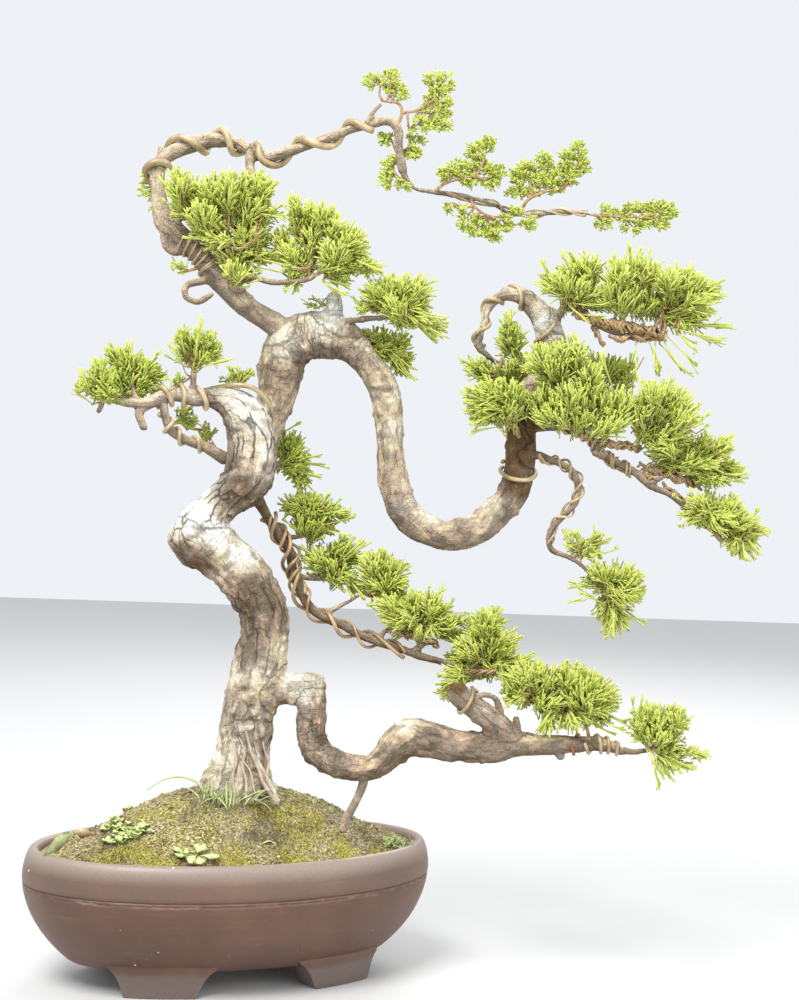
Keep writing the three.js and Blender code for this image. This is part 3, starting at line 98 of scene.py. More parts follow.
TRUNK_LOW = [
    [236, 806, 0, 34], [239, 775, 0, 31], [244, 742, -1, 27], [251, 704, -3, 27], [259, 668, -5, 27.5],
    [264, 638, -6, 25], [262, 610, -8, 26], [249, 584, -12, 26.5], [225, 558, -18, 26], [196, 534, -22, 28],
]
TRUNK_HIGH = [
    [196, 533, -22, 24], [212, 512, -16, 20.5], [229, 497, -10, 20], [246, 482, -5, 24], [251, 464, -2, 26],
    [252, 441, 0, 24.5], [246, 420, 0, 23], [234, 406, -1, 19], [221, 400, -3, 14], [208, 397, -7, 10],
]
ARCH = [
    [250, 480, 8, 15], [262, 446, 19, 16], [270, 418, 25, 17], [277, 396, 27, 20], [281, 374, 25, 23],
    [287, 350, 21, 24], [303, 338, 18, 25.5], [324, 335, 16, 24.5], [342, 340, 15, 21.5],
    [357, 351, 14, 16.5], [370, 366, 12, 14.5], [382, 386, 11, 15], [388, 412, 10, 15.5], [390, 440, 9, 14],
    [391, 465, 8, 14.5], [396, 492, 6, 16], [405, 512, 5, 16.5], [424, 528, 4, 15.5], [450, 536, 2, 15],
    [478, 528, 0, 15.5], [494, 515, -1, 15.5], [507, 502, -2, 15.5], [515, 488, -3, 15.5],
    [519, 470, -4, 15], [521, 452, -5, 15.5], [521, 434, -6, 15.5], [522, 414, -4, 15], [529, 392, 2, 14.5],
    [542, 369, 8, 14.5], [551, 346, 10, 15], [546, 325, 8, 14], [535, 308, 6, 11.5], [523, 297, 4, 8.5],
    [509, 294, 2, 6.5], [496, 299, 0, 5.5], [487, 310, -2, 4.5], [484, 323, -4, 4.2], [479, 336, -5, 4],
    [479, 347, -4, 4], [487, 355, -2, 3.5], [499, 365, 0, 3],
]
TOP_LIMB = [
    [292, 338, 20, 16], [280, 328, 15, 12.5], [266, 319, 10, 11.5], [250, 309, 5, 11], [236, 296, 2, 12],
    [224, 284, 0, 12], [212, 273, -2, 11], [204, 259, -4, 11], [192, 247, -7, 11.5], [177, 234, -9, 11.5],
    [164, 220, -9, 11.5], [160, 206, -8, 9], [158, 190, -6, 7.5], [157, 174, -3, 8], [160, 162, 0, 7.5],
    [172, 153, 4, 7.5], [188, 146, 9, 8], [204, 141, 13, 8], [219, 140, 16, 7.5], [236, 143, 17, 6.5],
    [252, 151, 16, 6], [266, 157, 14, 6], [284, 153, 10, 5.5], [302, 147, 5, 5], [326, 139, -2, 5],
    [350, 130, -8, 4.5], [372, 124, -12, 4.5], [390, 121, -14, 5], [398, 130, -14, 5], [399, 146, -12, 4.5],
    [401, 162, -9, 4], [406, 179, -5, 3.5], [417, 189, -1, 3], [434, 192, 4, 3], [462, 196, 10, 3],
    [495, 205, 15, 3], [509, 213, 17, 3], [537, 214, 18, 2.8], [561, 212, 17, 2.5], [580, 212, 15, 2.2],
    [596, 216, 13, 1.8],
]
LEFT_LIMB = [
    [222, 400, -3, 12], [208, 397, -7, 9.5], [194, 398, -12, 8.5], [178, 394, -17, 8], [162, 396, -22, 7],
    [150, 403, -26, 6], [136, 403, -29, 5], [120, 402, -32, 3.8], [105, 398, -34, 3.2], [99, 411, -35, 3],
]
LEFT_LOOP = [
    [224, 458, -2, 7], [205, 447, -7, 5.5], [188, 441, -12, 5], [171, 430, -17, 5], [165, 414, -21, 4.5],
    [163, 400, -22, 4.2],
]
LOW_LIMB_ROOT = [[260, 690, -3, 20], [284, 689, -6, 16], [310, 688, -10, 17]]
LOW_LIMB = [
    [310, 688, -10, 17], [312, 710, -14, 15.5], [311, 731, -17, 15.5], [316, 749, -19, 15.5],
    [331, 761, -21, 14.5], [350, 767, -23, 13.5], [369, 768, -24, 13], [385, 758, -25, 14.5],
    [396, 745, -26, 17], [411, 737, -27, 20], [427, 739, -28, 19.5], [443, 743, -29, 17.5],
    [461, 746, -30, 15.5], [481, 747, -30, 16], [499, 747, -30, 15], [518, 744, -30, 13],
    [540, 745, -30, 10.5], [560, 745, -30, 10], [580, 744, -30, 8.5], [598, 744, -30, 7.5],
    [610, 746, -30, 6], [619, 750, -30, 4], [632, 752, -30, 2.8], [650, 750, -30, 2.2],
]
CASCADE_LIMB = [
    [250, 488, 4, 10], [262, 507, 18, 5.5], [271, 523, 22, 5], [281, 537, 24, 5], [290, 552, 25, 5],
    [293, 571, 24, 5], [299, 588, 22, 5], [309, 606, 20, 5], [323, 617, 18, 4.8], [342, 625, 15, 4.8],
    [358, 634, 12, 4.5], [376, 641, 9, 4.5], [398, 648, 6, 4.5], [420, 656, 3, 4], [442, 662, 0, 3.5],
    [466, 670, -3, 3],
]
HANGING_TWIG = [
    [521, 457, -6, 8], [537, 455, -12, 4.6], [549, 459, -14, 4], [561, 464, -15, 4], [573, 472, -16, 4],
    [578, 486, -17, 4], [575, 503, -17, 3.8], [562, 517, -16, 3.6], [550, 532, -15, 3.5],
    [551, 549, -14, 3.4], [566, 556, -13, 3], [580, 564, -12, 2.5], [602, 588, -10, 2.2],
]
RIGHT_BRANCH = [
    [525, 428, -6, 6], [547, 427, -12, 4.6], [569, 428, -17, 4.6], [583, 434, -19, 4.5],
    [594, 443, -21, 4.5], [606, 456, -23, 4.2], [620, 464, -24, 4], [634, 472, -25, 4], [650, 486, -26, 3.6],
    [667, 493, -27, 3.5], [681, 504, -28, 3], [698, 520, -29, 2.6], [714, 533, -29, 2.2],
]
HIGH_BRANCH = [
    [550, 334, 8, 7], [560, 313, 4, 5], [572, 304, 0, 5], [586, 316, -5, 4.2], [600, 326, -8, 3.6],
    [618, 333, -10, 3.5], [640, 338, -10, 3.2], [662, 333, -8, 3],
]
SHORT_WOOD = {
    "stump": [[512, 740, -30, 13], [496, 724, -33, 13], [478, 710, -36, 12], [457, 693, -38, 11.5]],
    "prop": [
        [365, 770, -24, 6], [363, 784, -24, 5], [357, 799, -24, 4.5], [348, 816, -24, 5], [343, 830, -24, 5],
    ],
    "knob": [[334, 325, 14, 10], [334, 306, 10, 9.5], [334, 297, 9, 8]],
    "top_stub": [[162, 166, 1, 5], [160, 148, 3, 3]],
    "wired_stub": [[251, 150, 16, 6], [250, 165, 12, 5], [252, 178, 9, 4.6]],
    "elbow_stub": [[168, 222, -9, 6], [184, 215, -12, 3.8]],
    "dead_twig": [[186, 250, -8, 5], [172, 252, -11, 3.6], [165, 245, -12, 3.6], [162, 234, -13, 2.8]],
    "dead_curl": [
        [214, 279, -4, 5], [198, 282, -8, 4], [186, 286, -11, 3.8], [186, 297, -13, 3.6],
        [198, 302, -13, 3.4], [212, 294, -13, 3.2],
    ],
    "crown_twig": [[204, 258, -6, 5], [209, 249, -14, 3.4], [222, 247, -19, 3], [240, 250, -22, 2.6]],
    "upper_twig": [
        [234, 290, 0, 6], [240, 281, -6, 4], [255, 278, -9, 3.4], [270, 282, -10, 3.4], [290, 282, -11, 3],
        [308, 279, -11, 2.8], [322, 271, -11, 2.4],
    ],
    "arch_twig": [
        [340, 324, 12, 6], [352, 321, 4, 4], [364, 319, -2, 3.4], [378, 318, -5, 3], [396, 315, -8, 2.4],
    ],
    "fan_twig": [[368, 125, -12, 4], [372, 114, -13, 2.8], [381, 104, -14, 2.2]],
    "left_twig": [[188, 396, -14, 5], [193, 386, -16, 3.8], [193, 374, -17, 3.2]],
    "left_tip": [[138, 403, -29, 4], [134, 394, -28, 3], [132, 384, -28, 2.4]],
    "left_stub": [[150, 404, -26, 5], [139, 412, -28, 4.6], [144, 428, -29, 4.2]],
    "low_twig": [[500, 712, -34, 5], [495, 698, -38, 3], [482, 695, -40, 3.4], [476, 698, -41, 3]],
    "low_stub": [[517, 738, -30, 6], [516, 718, -31, 3.6]],
    "bud_lump": [[556, 748, -30, 6], [561, 757, -31, 4.5]],
    "cascade_twig_1": [[282, 538, 24, 4], [295, 537, 30, 2.8], [309, 535, 36, 2.2]],
    "cascade_twig_2": [[293, 574, 24, 4], [307, 578, 29, 2.8], [323, 580, 34, 2.2]],
    "cascade_twig_3": [[322, 616, 18, 4], [336, 608, 22, 2.8], [352, 600, 26, 2.2]],
    "cascade_twig_4": [[378, 641, 9, 4], [384, 632, 13, 2.8], [394, 628, 15, 2.2]],
    "cascade_twig_5": [[412, 653, 4, 4], [424, 644, 10, 2.8], [436, 643, 13, 2.2]],
    "pad_twig_left": [[522, 410, -4, 8], [510, 404, -14, 4], [498, 402, -20, 3]],
    "pad_twig_right": [
        [528, 396, 0, 8], [552, 396, -12, 4.6], [578, 402, -19, 4], [604, 407, -23, 3.6],
        [628, 414, -25, 3.2], [648, 426, -26, 2.6],
    ],
    "pad_twig_back": [[541, 371, 10, 7], [556, 378, 26, 3.4], [574, 384, 36, 2.6]],
    "branch_stub": [[608, 457, -23, 4], [594, 453, -25, 3.6]],
    "branch_twig": [[648, 485, -26, 3.6], [664, 476, -20, 2.8], [680, 466, -15, 2.4]],
    "root_1": [[243, 740, -17, 5], [242, 762, -21, 4.5], [239, 786, -25, 5], [236, 806, -27, 5]],
    "root_2": [[251, 738, -16, 5], [255, 759, -19, 4.5], [264, 777, -20, 5], [276, 803, -19, 5]],
    "root_3": [[262, 740, -8, 5], [265, 763, -8, 4.5], [271, 786, -6, 5], [279, 806, -3, 5]],
    "root_4": [[226, 748, -8, 9], [211, 776, -10, 9], [198, 806, -11, 10]],
    "root_5": [[245, 752, 12, 12], [243, 782, 22, 12], [242, 808, 30, 12]],
}
# Each wire: its limb, where it starts and ends by the limb's points, turns, phase, and radius in mm
WIRES = {
    "wire_top": (TOP_LIMB, 12.7, 26, 7, 2.4, 2.9),
    "wire_crown": (TOP_LIMB, 6, 8.6, 3, 0.5, 1.4),
    "wire_tip": (TOP_LIMB, 33.4, 39.4, 3, 1, 1.3),
    "wire_left": (LEFT_LIMB, 0.8, 4.6, 3.4, 0.4, 2),
    "wire_loop": (LEFT_LOOP, 0.8, 4.1, 3.5, 0, 1.6),
    "wire_arch": (ARCH, 28.3, 38.2, 4.6, 0, 1.7),
    "wire_ring": (ARCH, 22.8, 23.2, 1, 2.6, 1.8),
    "wire_hanging": (HANGING_TWIG, 1.2, 8.6, 4.5, 1.2, 1.4),
    "wire_right": (RIGHT_BRANCH, 1.6, 7, 5, 1, 1.4),
    "wire_cascade_a": (CASCADE_LIMB, 1.6, 12.4, 7, 0.2, 2.1),
    "wire_cascade_b": (CASCADE_LIMB, 1.6, 6.4, 3.11, 3.34, 2.1),
    "wire_low": (LOW_LIMB, 18.2, 21, 3.5, 1, 1.4),
    "wire_copper": (LOW_LIMB, 17.5, 17.95, 1, 1, 1.2),
    "wire_stump": (SHORT_WOOD["stump"], 2.45, 2.65, 1, 0, 1.5),
}
# Where a wire comes from before it reaches its limb
LEADS = {"wire_left": [[270, 428, 12], [272, 414, 2], [266, 399, -6], [253, 388, -9], [238, 385, -9]]}
# The stems that carry each spray: right, down and away
STEMS = {
    "fan_1": [
        [[398, 124, -14], [402, 113, -14], [399, 104, -14], [383, 101, -14]],
        [[402, 113, -14], [416, 111, -13]],
    ],
    "fan_2": [[[401, 152, -10], [401, 153, -3], [391, 158, -5]], [[401, 153, -3], [411, 146, -3]]],
    "fan_3": [[[434, 192, 4], [444, 184, -1], [462, 178, -3], [476, 176, -3]]],
    "fan_4": [[[520, 213, 17], [528, 200, 11], [545, 192, 10], [562, 188, 10]]],
    "fan_5": [[[470, 198, 11], [474, 206, 5], [484, 214, 3]]],
    "fan_6": [[[594, 215, 13], [604, 216, 14], [640, 217, 15]]],
    "crown_1": [
        [[208, 250, -14], [206, 240, -20], [202, 232, -22]],
        [[206, 240, -20], [222, 232, -22], [228, 228, -22]],
    ],
    "crown_2": [[[239, 250, -22], [248, 244, -18], [256, 238, -14]]],
    "crown_3": [[[158, 192, -6], [153, 190, 4], [149, 190, 6]]],
    "crown_4": [[[198, 268, -6], [188, 271, -8]]],
    "upper_1": [[[310, 278, -11], [309, 268, -14], [313, 258, -12]], [[309, 268, -14], [298, 269, -18]]],
    "upper_2": [[[323, 271, -11], [332, 262, -9], [340, 256, -8]]],
    "arch_1": [
        [[388, 317, -7], [390, 308, -10], [380, 304, -11]],
        [[390, 308, -10], [402, 306, -10], [411, 306, -10]],
    ],
    "arch_2": [[[352, 322, 4], [360, 330, 30], [378, 336, 34], [390, 348, 36]]],
    "arch_3": [[[330, 308, 10], [320, 302, 10]]],
    "left_1": [
        [[118, 402, -32], [114, 390, -35], [114, 385, -36]],
        [[114, 390, -35], [98, 399, -40], [94, 399, -40]],
    ],
    "left_2": [[[132, 385, -28], [135, 377, -28], [143, 376, -27]]],
    "left_3": [[[193, 375, -17], [193, 362, -17]]],
    "left_4": [[[236, 398, 6], [236, 382, 10]]],
    "left_5": [[[218, 452, 2], [209, 438, 12], [203, 430, 16]]],
    "cascade_1": [[[262, 450, 24], [274, 460, 40], [282, 467, 42]]],
    "cascade_2": [[[308, 535, 36], [316, 530, 38]]],
    "cascade_3": [[[322, 580, 34], [332, 575, 36]]],
    "cascade_4": [[[351, 600, 26], [363, 593, 28]]],
    "cascade_5": [
        [[393, 629, 15], [399, 621, 16], [412, 620, 15]], [[412, 620, 15], [430, 628, 14], [440, 629, 14]],
    ],
    "cascade_6": [
        [[464, 670, -3], [473, 667, -8], [488, 667, -10]], [[473, 667, -8], [479, 656, 10], [484, 650, 18]],
        [[473, 667, -8], [462, 676, 2], [454, 684, 4]],
    ],
    "low_1": [[[542, 742, -30], [548, 722, -30], [544, 702, -30]]],
    "low_2": [[[590, 742, -30], [586, 724, -29], [582, 706, -28]]],
    "low_3": [[[648, 750, -30], [654, 745, -30], [656, 738, -30]], [[654, 745, -30], [658, 755, -31]]],
    "high_1": [[[586, 316, -5], [587, 300, -6]]],
    "high_2": [[[614, 332, -10], [616, 312, -11], [620, 300, -11]]],
    "high_3": [[[660, 333, -8], [662, 318, -9], [664, 304, -9]]],
    "hook": [[[498, 365, 0], [504, 357, 1], [512, 350, 1]], [[504, 357, 1], [496, 372, -6], [490, 372, -8]]],
    "pad_1": [[[504, 403, -17], [498, 396, -22], [491, 398, -23]], [[498, 396, -22], [514, 389, -23]]],
    "pad_2": [
        [[558, 397, -14], [560, 386, -20], [564, 382, -21]],
        [[560, 386, -20], [580, 388, -28], [600, 388, -28]],
    ],
    "pad_3": [[[572, 384, 36], [579, 376, 40]]],
    "right_1": [[[647, 425, -26], [653, 415, -26]]],
    "right_2": [[[679, 467, -15], [689, 459, -15]]],
    "right_3": [[[706, 526, -29], [708, 519, -29], [722, 525, -29]], [[708, 519, -29], [688, 516, -34]]],
    "hanging_1": [[[572, 560, -13], [581, 551, -14]]],
    "hanging_2": [[[600, 586, -10], [609, 592, -10]]],
}
# Each spray as brushes on the sheet: right, down, half width, half height, heading (90 is up)
BRUSHES = {
    "fan_1": [
        [372, 80, 9, 8, 150], [390, 78, 9, 10, 100], [397, 92, 11, 11, 60], [433, 80, 9, 9, 95],
        [446, 82, 9, 11, 60], [438, 96, 12, 12, 70], [434, 112, 13, 12, 40], [447, 108, 6, 10, 20],
        [444, 126, 9, 6, -10], [420, 124, 13, 9, 20],
    ],
    "fan_2": [
        [384, 138, 7, 6, 190], [417, 144, 8, 12, -30], [412, 154, 8, 6, -40], [389, 165, 8, 9, 190],
        [386, 180, 7, 9, 210], [403, 186, 8, 7, -80],
    ],
    "fan_3": [
        [449, 172, 12, 9, 120], [462, 168, 10, 10, 90], [476, 152, 10, 10, 90], [488, 142, 8, 8, 80],
        [480, 166, 12, 9, 80], [497, 172, 9, 9, 40], [491, 184, 8, 6, -60], [470, 182, 8, 6, -60],
    ],
    "fan_4": [
        [518, 175, 9, 10, 120], [527, 169, 9, 10, 100], [545, 162, 9, 11, 90], [540, 182, 14, 13, 90],
        [556, 180, 13, 13, 60], [566, 160, 8, 11, 90], [579, 152, 8, 12, 85], [584, 166, 7, 9, 40],
        [572, 176, 10, 9, 30], [519, 192, 14, 5, 200],
    ],
    "fan_5": [
        [456, 209, 11, 5, -60], [468, 222, 10, 11, -90], [478, 227, 10, 11, -80], [492, 228, 10, 9, -60],
        [494, 237, 8, 5, -70], [506, 224, 8, 9, -50], [517, 211, 7, 5, 60], [531, 224, 6, 7, -10],
    ],
    "fan_6": [
        [604, 223, 11, 7, -40], [606, 209, 8, 5, 50], [622, 214, 12, 8, 20], [634, 206, 9, 6, 60],
        [634, 228, 11, 8, -50], [650, 208, 10, 7, 30], [650, 219, 11, 8, 0], [664, 208, 9, 8, 30],
        [671, 212, 8, 7, 0], [663, 224, 8, 6, -30],
    ],
    "crown_1": [
        [177, 184, 12, 17, 110], [190, 192, 14, 18, 100], [210, 190, 14, 16, 95], [226, 187, 14, 17, 90],
        [182, 208, 13, 14, 150], [200, 212, 16, 14, 110], [220, 212, 16, 18, 95], [206, 228, 17, 10, 160],
        [216, 241, 15, 9, 170], [228, 254, 14, 11, 120], [232, 268, 11, 9, 100],
    ],
    "crown_2": [
        [242, 187, 14, 17, 90], [258, 185, 13, 16, 80], [269, 187, 8, 13, 60], [245, 208, 16, 18, 90],
        [261, 210, 13, 16, 60], [245, 232, 15, 16, 90], [262, 234, 12, 14, 50], [272, 212, 11, 6, 20],
        [250, 255, 17, 11, 20], [268, 256, 13, 8, 0], [246, 271, 13, 8, 60],
    ],
    "crown_3": [[146, 178, 8, 8, 150], [147, 192, 8, 9, 190], [152, 203, 6, 7, 180]],
    "crown_4": [[176, 264, 9, 7, 160]],
    "upper_1": [
        [294, 206, 8, 12, 110], [300, 222, 11, 16, 100], [310, 214, 12, 14, 90], [312, 236, 13, 17, 90],
        [280, 238, 11, 12, 130], [290, 250, 12, 13, 120], [282, 256, 11, 8, 180], [307, 256, 13, 11, 90],
        [296, 270, 13, 8, 180], [292, 286, 8, 8, -100],
    ],
    "upper_2": [
        [322, 214, 9, 12, 90], [332, 216, 6, 12, 80], [335, 227, 13, 14, 85], [351, 237, 13, 14, 60],
        [361, 248, 10, 15, 20], [336, 250, 17, 16, 90], [351, 262, 17, 13, 30], [336, 270, 15, 8, 0],
        [371, 268, 13, 8, -5], [342, 281, 11, 6, -20],
    ],
    "arch_1": [
        [372, 291, 12, 11, 140], [388, 287, 13, 13, 100], [405, 285, 13, 13, 85], [421, 288, 12, 14, 60],
        [373, 304, 14, 9, 180], [392, 304, 16, 12, 120], [411, 304, 14, 14, 60], [423, 306, 9, 12, 20],
        [362, 310, 9, 5, 180], [405, 319, 16, 9, -20], [424, 324, 14, 8, -25], [436, 328, 11, 8, -20],
    ],
    "arch_2": [
        [372, 335, 10, 9, 110], [386, 337, 10, 9, 80], [401, 338, 11, 9, 60], [387, 350, 14, 11, 0],
        [402, 354, 12, 12, 0], [402, 368, 10, 11, -60], [409, 360, 7, 7, 0],
    ],
    "arch_3": [[312, 303, 10, 6, 150]],
    "left_1": [
        [85, 386, 11, 7, 150], [91, 377, 9, 9, 135], [98, 368, 9, 10, 120], [104, 379, 11, 13, 110],
        [99, 392, 10, 9, 140], [112, 389, 8, 10, 60],
    ],
    "left_2": [
        [114, 354, 9, 10, 120], [126, 357, 12, 13, 90], [140, 364, 12, 12, 80], [152, 368, 10, 11, 50],
        [120, 375, 14, 14, 100], [139, 378, 15, 12, 60], [157, 377, 9, 8, 10], [131, 389, 13, 7, 60],
        [149, 387, 11, 6, 0],
    ],
    "left_3": [
        [183, 336, 8, 10, 115], [190, 346, 10, 13, 100], [200, 343, 8, 12, 85], [209, 341, 8, 12, 70],
        [216, 351, 8, 10, 40], [204, 355, 9, 9, 60], [181, 352, 8, 9, 150], [178, 378, 6, 6, 100],
    ],
    "left_4": [[232, 378, 8, 7, 110], [242, 376, 8, 8, 70], [249, 372, 5, 6, 50]],
    "left_5": [[188, 410, 9, 6, 30], [190, 422, 10, 8, 0], [208, 429, 7, 8, 80]],
    "cascade_1": [
        [280, 438, 9, 13, 100], [293, 443, 12, 13, 90], [299, 458, 15, 13, 20], [290, 466, 11, 13, 180],
        [302, 471, 12, 11, -20], [303, 485, 9, 8, -60],
    ],
    "cascade_2": [
        [290, 505, 10, 12, 150], [301, 502, 13, 13, 100], [317, 503, 13, 13, 70], [310, 520, 19, 15, 90],
        [333, 509, 12, 11, 30], [343, 514, 10, 7, 10], [326, 526, 14, 11, 10],
    ],
    "cascade_3": [
        [313, 558, 12, 12, 140], [328, 556, 14, 14, 100], [344, 547, 13, 12, 40], [335, 565, 16, 12, 90],
        [351, 557, 13, 10, 30], [349, 579, 13, 9, -10], [358, 589, 10, 7, -30],
    ],
    "cascade_4": [
        [369, 563, 13, 14, 110], [382, 561, 13, 14, 85], [395, 569, 13, 12, 60], [373, 580, 14, 13, 150],
        [390, 581, 17, 13, 60], [403, 584, 8, 10, 20],
    ],
    "cascade_5": [
        [385, 606, 13, 13, 150], [398, 599, 13, 12, 110], [415, 601, 14, 14, 90], [433, 600, 12, 12, 80],
        [444, 611, 12, 12, 40], [397, 618, 16, 11, 180], [418, 620, 16, 14, 90], [440, 624, 16, 12, 20],
        [457, 622, 10, 9, 30], [401, 631, 13, 7, 180], [425, 633, 14, 7, -90], [455, 636, 11, 8, 0],
    ],
    "cascade_6": [
        [484, 619, 13, 13, 100], [496, 618, 11, 12, 60], [472, 629, 12, 12, 140], [490, 636, 18, 14, 90],
        [507, 641, 12, 12, 40], [466, 646, 14, 13, 140], [485, 655, 20, 15, 90], [507, 656, 15, 13, 30],
        [522, 661, 11, 7, 0], [453, 660, 12, 12, 170], [450, 679, 12, 12, 190], [445, 693, 8, 9, 200],
        [470, 667, 17, 9, 150], [499, 667, 17, 9, -10],
    ],
    "low_1": [
        [521, 672, 13, 12, 110], [536, 671, 13, 12, 90], [550, 675, 14, 12, 80], [516, 682, 12, 9, -20],
        [540, 685, 16, 11, 60], [512, 700, 10, 8, 200], [525, 701, 9, 7, -60], [508, 690, 8, 8, 180],
        [551, 699, 14, 10, 40], [555, 715, 13, 10, -50], [548, 726, 9, 9, -90],
    ],
    "low_2": [
        [566, 673, 10, 12, 90], [578, 674, 10, 12, 90], [592, 681, 13, 13, 75], [605, 690, 13, 12, 45],
        [611, 701, 10, 11, 10], [581, 692, 18, 13, 90], [576, 707, 20, 12, 20], [598, 709, 15, 10, 0],
        [575, 723, 15, 9, -60], [599, 720, 13, 6, -10],
    ],
    "low_3": [
        [637, 723, 9, 13, 120], [648, 715, 12, 12, 100], [660, 717, 12, 13, 80], [675, 713, 10, 11, 80],
        [683, 722, 8, 9, 20], [655, 732, 16, 9, 90], [675, 737, 10, 9, 30], [672, 751, 13, 8, -20],
        [689, 751, 11, 6, 0], [701, 755, 7, 5, 0], [669, 766, 11, 9, -60], [686, 766, 11, 6, -20],
    ],
    "high_1": [
        [553, 281, 15, 13, 130], [573, 270, 15, 17, 105], [589, 268, 14, 16, 85], [584, 290, 20, 13, 60],
        [594, 305, 17, 9, -10],
    ],
    "high_2": [
        [618, 273, 14, 17, 95], [633, 267, 13, 17, 90], [648, 271, 12, 15, 75], [620, 294, 20, 15, 90],
        [644, 295, 20, 15, 90],
    ],
    "high_3": [
        [666, 278, 14, 14, 95], [684, 277, 14, 14, 80], [697, 285, 12, 13, 60], [714, 289, 11, 11, 20],
        [680, 300, 22, 15, 60], [704, 305, 14, 13, 10], [662, 311, 20, 11, -60], [688, 324, 19, 11, -20],
    ],
    "hook": [
        [508, 326, 10, 14, 95], [517, 336, 11, 13, 80], [502, 342, 9, 9, 120], [476, 366, 13, 11, 150],
        [490, 372, 13, 9, 110], [508, 366, 12, 11, 90], [519, 361, 11, 13, 95],
    ],
    "pad_1": [
        [479, 396, 15, 12, 160], [495, 389, 17, 13, 120], [513, 391, 15, 13, 100], [485, 410, 18, 11, 180],
        [505, 407, 16, 13, 100], [481, 420, 13, 7, 190],
    ],
    "pad_2": [
        [541, 361, 17, 19, 120], [562, 359, 18, 19, 80], [578, 352, 11, 13, 75], [590, 376, 16, 17, 80],
        [545, 395, 20, 14, 100], [570, 395, 20, 15, 100], [595, 400, 20, 17, 90], [618, 404, 18, 17, 80],
        [551, 411, 19, 11, 110], [580, 414, 19, 11, 90], [612, 421, 15, 11, 60],
    ],
    "pad_3": [[608, 368, 13, 15, 80], [624, 373, 10, 15, 75], [596, 362, 10, 12, 90]],
    "right_1": [
        [651, 393, 14, 14, 100], [668, 394, 15, 15, 75], [681, 403, 12, 14, 55], [641, 408, 15, 13, 90],
        [662, 414, 20, 14, 60], [687, 418, 13, 13, 45], [648, 427, 13, 11, 60], [672, 433, 20, 11, 40],
    ],
    "right_2": [
        [660, 446, 15, 13, 150], [682, 448, 18, 15, 90], [703, 445, 15, 13, 60], [721, 447, 12, 12, 45],
        [676, 461, 17, 11, 20], [700, 464, 21, 13, 20], [724, 468, 17, 11, 0], [738, 474, 9, 6, 0],
        [712, 481, 19, 7, -10],
    ],
    "right_3": [
        [695, 506, 14, 14, 150], [712, 505, 15, 14, 100], [730, 507, 14, 14, 60], [744, 520, 13, 13, 40],
        [700, 519, 15, 8, 240], [722, 523, 16, 12, -30], [740, 537, 14, 13, -40], [752, 531, 11, 11, 0],
        [762, 530, 7, 7, 0], [744, 550, 12, 10, -70], [733, 547, 8, 8, -100],
    ],
    "hanging_1": [
        [572, 539, 9, 10, 120], [589, 543, 12, 9, 60], [601, 537, 9, 9, 40], [594, 553, 13, 7, 20],
    ],
    "hanging_2": [
        [597, 569, 11, 10, 110], [614, 571, 13, 11, 80], [631, 576, 13, 12, 45], [635, 592, 11, 12, 0],
        [605, 588, 13, 11, 170], [624, 600, 13, 11, -30], [605, 612, 11, 11, -100], [618, 621, 13, 11, -70],
        [608, 629, 7, 8, -95], [587, 582, 9, 6, 180],
    ],
}
